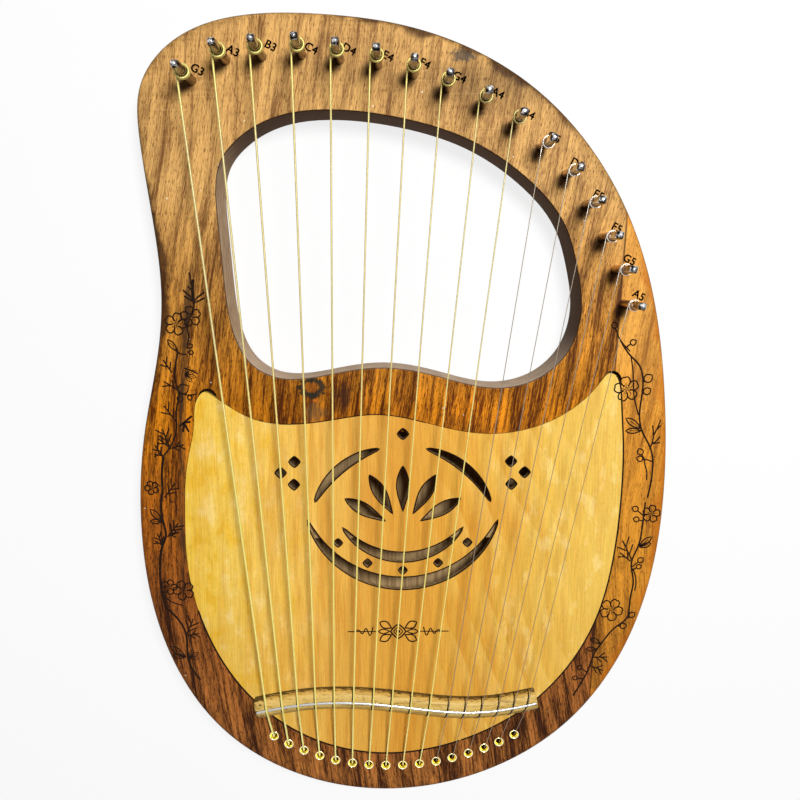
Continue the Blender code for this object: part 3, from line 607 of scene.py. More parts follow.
# %% [markdown]
# ## Metals
#
# The pins are plated, with dark drips. Down their shanks a brown reflection of the wood is painted
# on, near their tips dark reflections are painted on the sides of the heads, and one side of each
# pin is painted lighter and the other darker: painted light and shade. The eyelets are brass,
# painted darker deep in the bowl as shade, and the rod is bright steel. The coils of the plain
# strings are painted paler as a highlight. The long strings are wound with a fine bronze wire, whose
# tone changes with the height up the harp. Their finish reads a length that the strings carry along
# themselves and raises one small ridge for each turn of that wire.

# %% Metals
def metal(name, colour, roughness, patina, metallic=1.0):
    """Polished metal with faint cloudy stains."""
    made = Finish(name, roughness=roughness, metallic=metallic, gloss=0.5)
    clouds = made.noise(made.stretched(0.5, 0.5, 0.5), 4.0, 0.6)
    made.colour(made.mix(made.span(clouds, 0.45, 0.75, 0.0, 0.5, "LINEAR"), colour, patina))
    made.roughness(made.span(clouds, 0.3, 0.8, roughness, roughness + 0.12, "LINEAR"))
    return made


PLATING = (206, 206, 206)
chrome = metal("chrome", PLATING, 0.10, PLATING)
# Below the coil the shank is painted brown: a painted reflection of the wood.
chrome.coat(chrome.span(chrome.z, 50.0, 46.0), (172, 138, 98))
drips = chrome.noise(chrome.stretched(0.55, 0.55, 0.06), 3.0)
chrome.coat(chrome.span(drips, 0.46, 0.60, 0.0, 0.8), (70, 56, 40))
# Dark patches on the sides of the head near its tip are painted reflections.
head_reflection_noise = chrome.noise(chrome.stretched(0.7, 0.7, 0.5), 2.0)
head_dark_reflection = chrome.span(chrome.z, 56.6, 57.4) * chrome.span(chrome.z, 58.95, 58.6)
chrome.coat(head_dark_reflection * chrome.span(head_reflection_noise, 0.40, 0.52), (26, 26, 28))
# Faces turned towards the harp's upper left are painted lighter and those turned away darker:
# painted light and shade.
chrome.shade(chrome.span(chrome.facing(-0.45, 0.89, 0.0), -0.5, 0.5, 0.5, 1.25))

brass = metal("brass", (255, 246, 196), 0.2, (240, 212, 116))
# Deep in the bowl the brass is painted darker: painted shade in the bore.
bowl_with_painted_shade = brass.ramp(brass.span(brass.z, 23.6, 27.0, kind="LINEAR"), {
    0.0: (52, 40, 6), 0.45: (150, 124, 22), 0.75: (204, 180, 48), 1.0: (226, 208, 92)})
brass.colour(brass.mix(brass.span(brass.z, 26.86, 27.02), bowl_with_painted_shade, brass.base))
rod_steel = metal("rod_steel", (192, 192, 190), 0.2, (150, 146, 138))
plain_wire = metal("plain_wire", (148, 138, 122), 0.3, (104, 90, 72))
# The coil on the pin is painted paler than the rest of the wire: a painted highlight.
plain_wire.coat(plain_wire.span(plain_wire.z, 43.3, 43.7), (226, 222, 212))

TURN_OF_WINDING = 0.28
wound_wire = metal("wound_wire", (254, 248, 158), 0.36, (232, 218, 112), 0.35)
# The tone of the wound wire changes with the height up the harp.
tone_up_the_strings = wound_wire.ramp(up_the_harp(wound_wire), {
    0.09: (255, 255, 255), 0.13: (243, 237, 218), 0.25: (241, 234, 212), 0.40: (231, 224, 198),
    0.52: (226, 212, 198), 0.62: (198, 188, 204), 0.85: (196, 187, 202), 0.93: (213, 204, 186)})
wound_wire.coat(1.0, tone_up_the_strings, "MULTIPLY")
ridges = wound_wire.math("PINGPONG", wound_wire.stored("along"), TURN_OF_WINDING / 2)
wound_wire.bump(ridges / TURN_OF_WINDING, 0.5, 0.08)
print("metals:", chrome.material.name, brass.material.name, wound_wire.material.name)

# %% [markdown]
# ## Smooth outlines
#
# The harp's curves were drawn as knots. A natural cubic spline passes through them with the
# evenest bend, as a thin wooden batten does between nails. Its many points are then thinned to
# one each time the curve has turned by 3 degrees, which keeps the meshes light and the edges
# round.

# %% Outline helpers
def spline(knots, closed=True, close=40):
    """Points along the smooth curve through the knots."""
    knots = np.array(knots, dtype=float)
    count = len(knots)
    ahead = np.roll(knots, -1, axis=0)
    length = np.linalg.norm(ahead - knots, axis=1)
    slope = (ahead - knots) / length[:, None]
    system = np.eye(count)
    target = np.zeros_like(knots)
    for i in range(count):
        if closed or 0 < i < count - 1:
            system[i, i] = 2 * (length[i - 1] + length[i])
            system[i, i - 1] = length[i - 1]
            system[i, (i + 1) % count] = length[i]
            target[i] = 6 * (slope[i] - slope[i - 1])
    bend = np.linalg.solve(system, target)
    points = []
    for i in range(count if closed else count - 1):
        j = (i + 1) % count
        for t in np.linspace(0, 1, close, endpoint=False):
            u = 1 - t
            sag = (u ** 3 - u) * bend[i] + (t ** 3 - t) * bend[j]
            points.append(u * knots[i] + t * knots[j] + sag * length[i] ** 2 / 6)
    if not closed:
        points.append(knots[-1])
    return np.array(points)


def thin(points, closed=True, turn=math.radians(3), step=5.0):
    """The fewest of the points that follow the curve: one at each turn, or step of its length."""
    kept = [0]
    last = len(points) - 1
    for i in range(1, last):
        begun = points[kept[-1] + 1] - points[kept[-1]]
        now = points[i + 1] - points[i]
        angle = math.atan2(begun[0] * now[1] - begun[1] * now[0], begun @ now)
        if abs(angle) >= turn or np.linalg.norm(points[i] - points[kept[-1]]) >= step:
            kept.append(i)
    if not closed:
        kept.append(last)
    return points[kept]


def directions(points, closed=False):
    """Unit vector along a line at each of its points."""
    before = np.roll(points, 1, axis=0)
    after = np.roll(points, -1, axis=0)
    if not closed:
        before[0] = points[0]
        after[-1] = points[-1]
    return (after - before) / np.linalg.norm(after - before, axis=1)[:, None]


def aside(points, amount, closed=True):
    """The points moved to the right of the curve: outward on an anticlockwise loop."""
    along = directions(points, closed)
    return points + amount * np.column_stack([along[:, 1], -along[:, 0]])


def at_height(outline, z):
    """The flat outline as points of space at a height."""
    return np.column_stack([outline, np.full(len(outline), z)])


BODY_KNOTS = [
    (142.0, -26.0), (139.0, 25.0), (129.5, 77.0), (106.3, 130.5), (62.0, 177.8), (-1.5, 204.6),
    (-41.0, 209.3), (-75.5, 209.0), (-102.4, 202.8), (-121.0, 190.7), (-131.0, 175.2),
    (-132.6, 150.0), (-127.2, 103.7), (-125.3, 73.4), (-127.6, 47.2), (-137.4, 0.5),
    (-142.0, -52.0), (-134.1, -113.0), (-100.2, -173.7), (-37.3, -206.9), (33.7, -203.7),
    (94.0, -168.5), (129.0, -111.8),
]
WINDOW_KNOTS = [
    (92.7, 66.0), (90.0, 85.0), (82.8, 107.2), (64.0, 129.4), (33.1, 149.2), (-1.5, 159.6),
    (-36.0, 163.4), (-63.3, 160.0), (-81.8, 150.2), (-92.2, 137.4), (-94.6, 124.0),
    (-93.8, 105.0), (-92.2, 82.0), (-89.0, 56.3), (-80.7, 37.8), (-69.2, 30.0), (-53.0, 28.4),
    (-34.8, 31.4), (-15.0, 34.1), (2.0, 33.2), (23.9, 28.2), (49.4, 23.4), (69.3, 27.5),
    (85.3, 40.8),
]
BOARD_RIGHT = [(106.2, -108.7), (114.8, -74.4), (118.0, -38.0), (117.8, -5.0), (116.0, 16.0)]
BOARD_RIGHT_HORN = [(114.6, 26.0), (112.3, 30.0), (108.9, 30.8), (106.0, 28.2)]
BOARD_TOP = [
    (99.7, 20.3), (86.3, 9.4), (68.0, 1.4), (45.0, -1.5), (21.0, 2.2), (-3.0, 8.0), (-16.0, 9.0),
    (-33.3, 6.9), (-58.9, 3.9), (-80.7, 7.2), (-94.9, 15.5),
]
BOARD_LEFT_HORN = [(-101.5, 20.0), (-104.8, 21.3), (-107.6, 19.0)]
BOARD_LEFT = [
    (-110.6, 4.8), (-114.8, -16.0), (-117.4, -45.0), (-117.4, -71.0), (-108.9, -111.0),
    (-86.0, -150.6), (-52.0, -176.6), (-10.1, -186.3), (33.1, -178.6), (72.0, -156.6),
]
BOARD_KNOTS = [*BOARD_RIGHT, *BOARD_RIGHT_HORN, *BOARD_TOP, *BOARD_LEFT_HORN, *BOARD_LEFT]
body_outline = thin(spline(BODY_KNOTS))
window_outline = thin(spline(WINDOW_KNOTS))
board_outline = thin(spline(BOARD_KNOTS))
without_horns = np.array([*BOARD_RIGHT, *BOARD_TOP, *BOARD_LEFT])
print("outline points:", len(body_outline), len(window_outline), len(board_outline))

# %% [markdown]
# ## Mesh helpers
#
# Most pieces are lofts: rings of points joined by faces, and closed at both ends or joined up to
# a hoop. Holes are cut with Boolean modifiers and the result is turned into a plain mesh. Flat
# faces meet rounded ones at sharp edges, so that a large flat face isn't shaded as if it were
# bent.

# %% Mesh helpers
def loft(rings, hoop=False):
    """Closed mesh through rings of points: a bar with two ends, or a hoop without any."""
    shape = bmesh.new()
    loops = [[shape.verts.new(point) for point in ring] for ring in rings]
    for low, high in zip(loops, [*loops[1:], loops[0]] if hoop else loops[1:]):
        for i in range(len(low)):
            j = (i + 1) % len(low)
            shape.faces.new((low[i], low[j], high[j], high[i]))
    if not hoop:
        shape.faces.new(loops[0][::-1])
        shape.faces.new(loops[-1])
    bmesh.ops.recalc_face_normals(shape, faces=shape.faces)
    mesh = bpy.data.meshes.new("loft")
    shape.to_mesh(mesh)
    shape.free()
    return mesh


def circle(spot, radius, z, sides):
    """Ring of points round a place."""
    turns = 2 * math.pi * np.arange(sides) / sides
    return np.column_stack([spot[0] + radius * np.cos(turns), spot[1] + radius * np.sin(turns),
                            np.full(sides, z)])


def joined(meshes):
    """One mesh of several."""
    shape = bmesh.new()
    for mesh in meshes:
        shape.from_mesh(mesh)
    made = bpy.data.meshes.new("joined")
    shape.to_mesh(made)
    shape.free()
    return made


def bores(spots, radius, low, high, sides=32):
    """Upright cylinders at some spots."""
    return joined([loft([circle(spot, radius, low, sides), circle(spot, radius, high, sides)])
                   for spot in spots])


def evaluated(maker, name):
    """Plain mesh of an object with its modifiers done, in place of the object."""
    bpy.context.view_layer.update()
    graph = bpy.context.evaluated_depsgraph_get()
    mesh = bpy.data.meshes.new_from_object(maker.evaluated_get(graph))
    mesh.name = name
    bpy.data.objects.remove(maker)
    return mesh


def carved(mesh, cutters, name):
    """The mesh with each cutter's shape taken out of it."""
    maker = bpy.data.objects.new(name, mesh)
    home.objects.link(maker)
    tools = []
    for cutter in cutters:
        tool = bpy.data.objects.new("cutter", cutter)
        home.objects.link(tool)
        step = maker.modifiers.new("cut", "BOOLEAN")
        step.operation = "DIFFERENCE"
        step.solver = "EXACT"
        step.object = tool
        tools.append(tool)
    made = evaluated(maker, name)
    for tool in tools:
        bpy.data.objects.remove(tool)
    return made


def crisp(mesh, angle=math.radians(32)):
    """Smooth shading, broken at creases and round flat level faces."""
    shape = bmesh.new()
    shape.from_mesh(mesh)
    for face in shape.faces:
        face.smooth = True
    for edge in shape.edges:
        if len(edge.link_faces) == 2:
            first, second = (face.normal for face in edge.link_faces)
            level = [abs(normal.z) > 0.9999 for normal in (first, second)]
            edge.smooth = first.angle(second, 0.0) < angle and level[0] == level[1]
    shape.to_mesh(mesh)
    shape.free()
    return mesh


def put_on(name, mesh, finishes, nodes=(), body="harp"):
    """Piece of the harp from a mesh in millimetres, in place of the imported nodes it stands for."""
    mesh.transform(Matrix.Scale(MM, 4))
    mesh.name = name
    while len(mesh.materials) < len(finishes):
        mesh.materials.append(None)
    for number, finish in enumerate(finishes):
        mesh.materials[number] = finish.material
    piece = bpy.data.objects.new(name, mesh)
    home.objects.link(piece)
    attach(piece, body)
    if nodes:
        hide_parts(*nodes)
    triangles = sum(len(face.vertices) - 2 for face in mesh.polygons)
    print(f"{name}: {triangles} triangles")
    return piece


print("mesh helpers ready")

# %% [markdown]
# ## Body
#
# The ring is a loft of its outline, drawn in a little at both faces for the rounded edge, with
# everything else cut out of it: the window with its broken edges, the chamber, the beds of the
# soundboard and the back panel, the round ends that the cutter left past both horns of the
# board, and the bores for pins, eyelets and string ends. The walls of the window then get their
# paint and the round ends their char, and each point learns how near the outer edge it is.

# %% Body ring
BODY_ROUND = 2.5
EDGE_BAND = 8.5
WINDOW_ROUND = 0.8
BOARD_THICK = 3.0
BOARD_LEDGE = 8.0
PANEL_THICK = 2.7
PANEL_LEDGE = 5.0
HORN_BORE_RADIUS = 5.0
HORN_BORE_SPOTS = [(-103.0, 18.2), (110.6, 27.3)]
EYELET_SPOTS = [
    (-72.6, -174.9), (-64.4, -179.8), (-55.9, -183.8), (-47.1, -187.2), (-38.1, -190.0),
    (-28.6, -191.9), (-19.2, -193.0), (-9.6, -193.5), (0.0, -193.4), (9.5, -192.6),
    (19.0, -191.2), (28.1, -189.1), (37.3, -186.4), (46.2, -183.3), (54.6, -179.5),
    (63.1, -175.0),
]
STRING_HOLE_RADIUS = 1.3
BALL_WELL_RADIUS = 2.7
BALL_WELL_DEEP = 8.0
PIN_RADIUS = 2.5
PIN_FIT = 0.08
PIN_BURIED = 20.0
TUBE_RADIUS = 1.8
TUBE_LONG = 6.0
PAST_FACE = 1.0


def rounding(radius, steps):
    """Pairs of a depth below a face and how far the edge is drawn in there."""
    turns = np.linspace(0, math.pi / 2, steps + 1)
    return [(radius * (1 - math.cos(turn)), radius * (1 - math.sin(turn))) for turn in turns]


def through_thickness(outline, radius, way, steps):
    """Rings of an outline from back to face, moved one way as far as each edge's rounding."""
    pairs = rounding(radius, steps)
    levels = [*pairs, *((BODY_THICK - depth, drawn) for depth, drawn in pairs[::-1])]
    return [at_height(aside(outline, way * drawn), level) for level, drawn in levels]


def slab(outline, low, high):
    """Straight-sided block of an outline."""
    return loft([at_height(outline, low), at_height(outline, high)])


chamber_outline = thin(spline(aside(without_horns, -BOARD_LEDGE)))
panel_outline = thin(spline(aside(without_horns, PANEL_LEDGE - BOARD_LEDGE)))
bed = BODY_THICK - BOARD_THICK - FIT
below = -PAST_FACE
above = BODY_THICK + PAST_FACE
ring_block = loft([*through_thickness(body_outline, BODY_ROUND, -1, 6),
                   at_height(aside(body_outline, -EDGE_BAND), BODY_THICK)])
widest = aside(window_outline, WINDOW_ROUND)
window_cutter = loft([at_height(widest, below),
                      *through_thickness(window_outline, WINDOW_ROUND, 1, 4),
                      at_height(widest, above)])
body_mesh = carved(ring_block, [
    window_cutter,
    slab(chamber_outline, below, above),
    slab(aside(board_outline, FIT), bed, above),
    bores(HORN_BORE_SPOTS, HORN_BORE_RADIUS, bed - 0.2, above, 48),
    slab(aside(panel_outline, FIT), below, PANEL_THICK + FIT),
    bores(PIN_SPOTS, PIN_RADIUS + PIN_FIT, BODY_THICK - PIN_BURIED - FIT, above),
    bores(EYELET_SPOTS, STRING_HOLE_RADIUS, below, above, 20),
    bores(EYELET_SPOTS, TUBE_RADIUS + FIT, BODY_THICK - TUBE_LONG - FIT, above, 24),
    bores(EYELET_SPOTS, BALL_WELL_RADIUS, below, BALL_WELL_DEEP, 24),
], "body_ring")


def centres_and_normals(mesh):
    """Middle and direction of every face, as rows."""
    middles = np.array([face.center for face in mesh.polygons])
    normals = np.array([face.normal for face in mesh.polygons])
    return middles, normals


def distance_to(points, outline):
    """How far each point is from the nearest point of an outline, seen from above."""
    return np.linalg.norm(points[:, None, :2] - outline[None, :, :], axis=2).min(axis=1)


def give(mesh, chosen, number):
    """Give the chosen faces the finish of a number."""
    for face, take in zip(mesh.polygons, chosen):
        if take:
            face.material_index = number


def store(mesh, name, values):
    """Write a number on each point of the mesh, for its finish to read."""
    layer = mesh.attributes.new(name, "FLOAT", "POINT")
    layer.data.foreach_set("value", values.astype(np.float32))


middles, normals = centres_and_normals(body_mesh)
steep = np.abs(normals[:, 2]) < 0.98
near_window = distance_to(middles, spline(WINDOW_KNOTS)) < 1.2
give(body_mesh, steep & near_window, 1)
horns = np.array(HORN_BORE_SPOTS)
in_horns = (distance_to(middles, horns) < HORN_BORE_RADIUS + 0.3) & (middles[:, 2] > bed - 0.3)
give(body_mesh, in_horns & (middles[:, 2] < BODY_THICK - 0.01), 2)
spots = np.array([vertex.co for vertex in body_mesh.vertices])
from_edge = distance_to(spots, spline(BODY_KNOTS))
store(body_mesh, "edge", np.clip(1 - from_edge / EDGE_BAND, 0, 1))
put_on("body_ring", crisp(body_mesh), [body_wood, window_paint, burnt_and_shade], ["body"])

# %% [markdown]
# ## Rose of the soundboard
#
# The sound hole is a pierced rose: two crescents with beads between them, a fan of leaves under
# two arches and a few lozenges. Each opening is a flat loop. A loop that is written as a rule,
# such as a width that follows a sine, stays smooth at any number of points. Two of the shapes
# come back later: the leaves of the vines and the small mark are drawn with them too.

# %% Rose openings
def heading(degrees):
    """Unit vector at an angle from the harp's right."""
    return np.array([math.cos(math.radians(degrees)), math.sin(math.radians(degrees))])


def crescent(centre, radius, thick, start, end, points=40):
    """Arched slot, thick in the middle and round at both ends."""
    shares = np.linspace(0, 1, points)
    halves = 0.5 * thick * np.clip(np.sin(math.pi * shares), 0, None) ** 0.6
    arms = np.array([heading(start + (end - start) * share) for share in shares])
    outer = centre + (radius + halves)[:, None] * arms
    inner = centre + (radius - halves)[:, None] * arms
    return np.vstack([outer, inner[-2:0:-1]])


def leaf_slot(root, near, far, wide, degrees, points=24):
    """Pointed leaf slot from near to far along a heading."""
    shares = np.linspace(0, 1, points)
    halves = 0.5 * wide * np.clip(np.sin(math.pi * shares ** 1.25), 0, None) ** 0.9
    middle = root + (near + (far - near) * shares)[:, None] * heading(degrees)
    swing = halves[:, None] * heading(degrees + 90)
    return np.vstack([middle - swing, (middle + swing)[-2:0:-1]])


def superellipse(reach, fullness, points, shift=0.0):
    """Flat loop: near a lozenge at fullness 1, a circle at 2 and a rounded square above."""
    turns = 2 * math.pi * (np.arange(points) + shift) / points
    radius = reach / (np.abs(np.cos(turns)) ** fullness
                      + np.abs(np.sin(turns)) ** fullness) ** (1 / fullness)
    return np.column_stack([radius * np.cos(turns), radius * np.sin(turns)])


def lozenge(middle, wide):
    """Four-cornered slot with slightly swelling sides."""
    return middle + superellipse(0.5 * wide, 1.2166, 32)


rose_centre = np.array((0.0, -30.0))
arch_centre = np.array((0.0, -60.0))
leaf_root = np.array((0.0, -55.0))
rose = [crescent(rose_centre, 55.0, 7.0, 200, 340, 60),
        crescent(rose_centre, 40.0, 5.5, 215, 325),
        crescent(arch_centre, 52.0, 5.0, 24, 76), crescent(arch_centre, 52.0, 5.0, 104, 156)]
rose += [leaf_slot(leaf_root, 11.0, 36.0, 6.5, degrees) for degrees in (30, 60, 90, 120, 150)]
rose += [lozenge(rose_centre + 47.4 * heading(degrees), 4.6)
         for degrees in (222, 246, 270, 294, 318)]
rose += [lozenge(np.array(spot), 5.8) for spot in
         ((0.0, -1.4), (58.0, -16.5), (65.5, -22.5), (58.5, -29.0), (-58.0, -16.5),
          (-65.5, -22.5), (-58.5, -29.0))]
print("rose openings:", len(rose))

# %% [markdown]
# ## Soundboard, back panel and braces
#
# A flat board with holes is a filled curve given a thickness: Blender fills between the outer
# loop and the inner ones. The walls of the openings show bare wood. The braces and the bridge
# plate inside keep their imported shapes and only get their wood.

# %% Boards
def board(outlines, low, high, name):
    """Flat board of closed outlines, the first one outermost, filled between two heights."""
    curve = bpy.data.curves.new(name, "CURVE")
    curve.dimensions = "2D"
    curve.fill_mode = "BOTH"
    curve.extrude = (high - low) / 2
    for outline in outlines:
        run = curve.splines.new("POLY")
        run.points.add(len(outline) - 1)
        for point, (x, y) in zip(run.points, outline):
            point.co = (x, y, 0.0, 1.0)
        run.use_cyclic_u = True
    maker = bpy.data.objects.new(name, curve)
    home.objects.link(maker)
    mesh = evaluated(maker, name)
    mesh.transform(Matrix.Translation((0.0, 0.0, (low + high) / 2)))
    shape = bmesh.new()
    shape.from_mesh(mesh)
    bmesh.ops.remove_doubles(shape, verts=shape.verts, dist=0.001)
    bmesh.ops.recalc_face_normals(shape, faces=shape.faces)
    shape.to_mesh(mesh)
    shape.free()
    return mesh


soundboard_mesh = board([board_outline, *rose], BODY_THICK - BOARD_THICK, BODY_THICK, "soundboard")
middles, normals = centres_and_normals(soundboard_mesh)
walls = np.abs(normals[:, 2]) < 0.5
give(soundboard_mesh, walls & (distance_to(middles, np.vstack(rose)) < 2.0), 1)
put_on("pierced_soundboard", crisp(soundboard_mesh), [board_wood, bare_wood],
       ["soundboard"])

panel_mesh = board([panel_outline], 0.0, PANEL_THICK, "back_panel")
put_on("fitted_back_panel", crisp(panel_mesh), [bare_wood], ["back_panel"])

for node in ("soundboard_brace_upper", "soundboard_brace_lower", "bridge_plate"):
    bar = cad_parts[node]
    if not bar.material_slots:
        bar.data.materials.append(bare_wood.material)
    for place in bar.material_slots:
        place.material = bare_wood.material
print("braces finished in bare wood")

# %% [markdown]
# ## Bridge and rod
#
# The bridge is one section carried along an S-shaped line: steep towards the sound hole, sloping
# towards the eyelets. Cutting the corners of the section twice rounds them. Its ends are eased
# in by shares of its full size.

# %% Bridge
SADDLE_KNOTS = [
    (-81.7, -157.2), (-57.9, -152.8), (-31.0, -151.5), (-3.0, -153.9), (26.0, -157.4),
    (50.0, -157.1), (74.8, -152.4),
]
BRIDGE_WIDE = 12.0
BRIDGE_TALL = 7.0
BRIDGE_SECTION = np.array([
    (-0.50, 0.0), (-0.50, 0.66), (-0.40, 0.90), (-0.20, 1.0), (0.17, 1.0), (0.50, 0.38),
    (0.50, 0.0),
])
BRIDGE_FOOT = BODY_THICK + FIT
END_EASE = np.array([(0.0, 0.90), (0.35, 0.96), (0.9, 0.99), (1.8, 1.0)])


def corners_cut(section, times=2):
    """The section with its upper corners cut, so that it looks rounded."""
    for _ in range(times):
        softer = [section[0]]
        for a, b in zip(section[:-1], section[1:]):
            softer += [0.82 * a + 0.18 * b, 0.18 * a + 0.82 * b]
        section = np.array([*softer, section[-1]])
    return section


def between(place, places, rows):
    """The row at a place among places in rising order, each with a row of its own."""
    return np.array([np.interp(place, places, column) for column in rows.T])


saddle_line = thin(spline(SADDLE_KNOTS, closed=False), closed=False, step=3.0)
forward = directions(saddle_line)
lefts = np.column_stack([-forward[:, 1], forward[:, 0]])
section = corners_cut(BRIDGE_SECTION)
gaps = np.linalg.norm(np.diff(saddle_line, axis=0), axis=1)
run = np.concatenate([[0], np.cumsum(gaps)])
stations = np.unique(np.concatenate([run[3:-3], END_EASE[:, 0], run[-1] - END_EASE[:, 0]]))
bridge_rings = []
for station in stations:
    size = np.interp(min(station, run[-1] - station), *END_EASE.T)
    out = (section[:, 0] * BRIDGE_WIDE * size)[:, None] * between(station, run, lefts)
    flat = between(station, run, saddle_line) - out
    bridge_rings.append(np.column_stack([flat, BRIDGE_FOOT + section[:, 1] * BRIDGE_TALL * size]))
bridge_block = loft(bridge_rings)
print("bridge rings:", len(bridge_rings), "with", len(section), "points each")

# %% [markdown]
# A tube needs a frame that doesn't spin as it goes along its path. Carrying one side vector from
# point to point, and only straightening it against the new direction, keeps the faces in line.
# The groove for the rod is cut by a thicker copy of the rod itself. The bridge then stores how
# scorched it is: most along its feet, more towards the sound hole, and at its left end.

# %% Tube helper and the rod
def tube(path, radii, sides):
    """Closed round tube along points of space, with a radius at each."""
    path = np.array(path, dtype=float)
    along = directions(path)
    steep = abs(along[0][2]) > 0.9
    side = np.cross(along[0], (1.0, 0.0, 0.0) if steep else (0.0, 0.0, 1.0))
    turns = 2 * math.pi * np.arange(sides) / sides
    rings = []
    for spot, forward, radius in zip(path, along, radii):
        side = side - forward * (side @ forward)
        side /= np.linalg.norm(side)
        third = np.cross(forward, side)
        rings.append(spot + radius * (np.cos(turns)[:, None] * side
                                      + np.sin(turns)[:, None] * third))
    return loft(rings)


ROD_RADIUS = 0.8
ROD_HEIGHT = BRIDGE_FOOT + BRIDGE_TALL - 0.3
ROD_TIP = [0.45, 0.7, ROD_RADIUS]
ROD_TIP_SHARES = [0.0, 0.1, 0.2]
ROD_INSET = np.array([0.6, 0.0, 0.0])
GROOVE_FIT = 0.08
GROOVE_PAST = np.array([3.0, 0.0, 0.0])
SCORCH_TALL = 5.4
SCORCH_LONG = 8.0

axis = at_height(saddle_line, ROD_HEIGHT)
groove = tube([axis[0] - GROOVE_PAST, *axis, axis[-1] + GROOVE_PAST],
              [ROD_RADIUS + GROOVE_FIT] * (len(axis) + 2), 20)
bridge_mesh = carved(bridge_block, [groove], "bridge")
spots = np.array([vertex.co for vertex in bridge_mesh.vertices])
far_side = distance_to(spots, saddle_line + lefts * BRIDGE_WIDE / 2) < 3.0
at_foot = np.clip(1.0 - (spots[:, 2] - BRIDGE_FOOT) / SCORCH_TALL, 0.0, None)
at_left = np.clip(1.0 - (spots[:, 0] - saddle_line[0][0]) / SCORCH_LONG, 0.0, None)
store(bridge_mesh, "scorch", at_foot * np.where(far_side, 1.0, 0.8) + 0.35 * at_left)
put_on("bridge_block", crisp(bridge_mesh), [bridge_wood], ["bridge"])

middle = axis[1:-1]
left_end = axis[0] + ROD_INSET
right_end = axis[-1] - ROD_INSET
rod_path = [*(left_end + (middle[0] - left_end) * share for share in ROD_TIP_SHARES), *middle,
            *(right_end + (middle[-1] - right_end) * share for share in ROD_TIP_SHARES[::-1])]
rod_radii = [*ROD_TIP, *[ROD_RADIUS] * len(middle), *ROD_TIP[::-1]]
put_on("rod", crisp(tube(rod_path, rod_radii, 24), math.radians(60)), [rod_steel],
       ["saddle_rod"])

# %% [markdown]
# ## Strings
#
# A string leaves its eyelet, bends over the rim, crosses the rod and winds clockwise on its pin.
# The route is worked out first. Geometry Nodes then sweeps a circle along it, with the string's
# own radius at each point, and stores the length along the string for the winding's ridges.

# %% String routes
SADDLE_X = [
    -75.2, -66.5, -57.9, -48.2, -37.9, -27.3, -16.5, -6.2, 4.2, 14.6, 24.9, 34.2, 43.3, 52.6,
    61.2, 69.0,
]
WOUND_COUNT = 10
TUBE_BORE = 1.35
FLANGE_THICK = 0.8
PIN_EYE_UP = 19.5
COIL_TURNS = 2.25
PACKED_COIL_POINTS = 10
COIL_POINTS = 30
COIL_GAP = 0.5
COIL_FIT = 0.12
BALL = [(4.2, 1.2), (4.6, 1.7), (6.0, 1.9), (7.3, 1.7), (7.7, 1.2)]
BALL_TOP = 7.9
UNDER_RIM = 3.2
RIM_BEND = [(0.04, -3.2), (0.12, -2.4), (0.24, -1.5), (0.38, -0.7), (0.50, -0.3),
            (0.66, -0.08), (0.92, 0.06), (1.2, 0.14)]


def string_radius(number):
    """Half the thickness of a string, counted from 0 at the longest."""
    if number < WOUND_COUNT:
        return (1.15 - 0.05 * number) / 2
    return (0.42 - 0.02 * (number - WOUND_COUNT)) / 2


def first_touch(pin, saddle, wrap):
    """Angle round the pin at which a string from the saddle meets its coil."""
    apart = saddle - pin
    return math.atan2(apart[1], apart[0]) - math.acos(wrap / np.linalg.norm(apart))


def string_route(number):
    """Points of a string from its ball to its tail, their radii, and the heading of its tail."""
    radius = string_radius(number)
    eyelet = np.array(EYELET_SPOTS[number])
    pin = np.array(PIN_SPOTS[number])
    saddle = between(SADDLE_X[number], saddle_line[:, 0], saddle_line)
    away = (saddle - eyelet) / np.linalg.norm(saddle - eyelet)
    onward = (pin - saddle) / np.linalg.norm(pin - saddle)

    route = [(*eyelet, z) for z in (*(z for z, _ in BALL), BALL_TOP, BODY_THICK - UNDER_RIM)]
    rim = BODY_THICK + 2 * FIT + FLANGE_THICK + radius
    reach = TUBE_BORE - 0.2
    route += [(*(eyelet + away * reach * out), rim + rise) for out, rise in RIM_BEND]
    touch = ROD_HEIGHT + ROD_RADIUS + radius + 0.03
    route += [(*(saddle - away * 1.3), touch - 0.55), (*(saddle - away * 0.6), touch - 0.16),
              (*saddle, touch), (*(saddle + onward * 0.9), touch + 0.02)]

    wrap = PIN_RADIUS + COIL_FIT + radius
    begun = first_touch(pin, saddle, wrap)
    pitch = 2 * radius + COIL_GAP
    for turned in np.linspace(0, COIL_TURNS, round(COIL_TURNS * COIL_POINTS) + 1):
        height = BODY_THICK + PIN_EYE_UP - pitch * (COIL_TURNS - turned)
        route.append((*(pin + wrap * heading(math.degrees(begun) - 360 * turned)), height))
    radii = [wide for _, wide in BALL]
    radii += [radius] * (len(route) - len(radii))
    packed_wrap = (PIN_RADIUS + FIT + radius) / math.cos(math.pi / PACKED_COIL_POINTS)
    tail = first_touch(pin, saddle, packed_wrap) - 2 * math.pi * COIL_TURNS
    return np.array(route), radii, tail


routes = [string_route(number) for number in range(len(PIN_SPOTS))]
print("points in a string:", len(routes[0][0]))

# %% [markdown]
# Three node trees grow what repeats: the wires, the eyelets and the burnt lines. All of them
# take their finish as a named input and end in the same two nodes. The first one has its number
# of sides as an input too. Curve to Mesh scales the circle by the radius stored at each point,
# so one tree makes the ball, the wire and its coil.

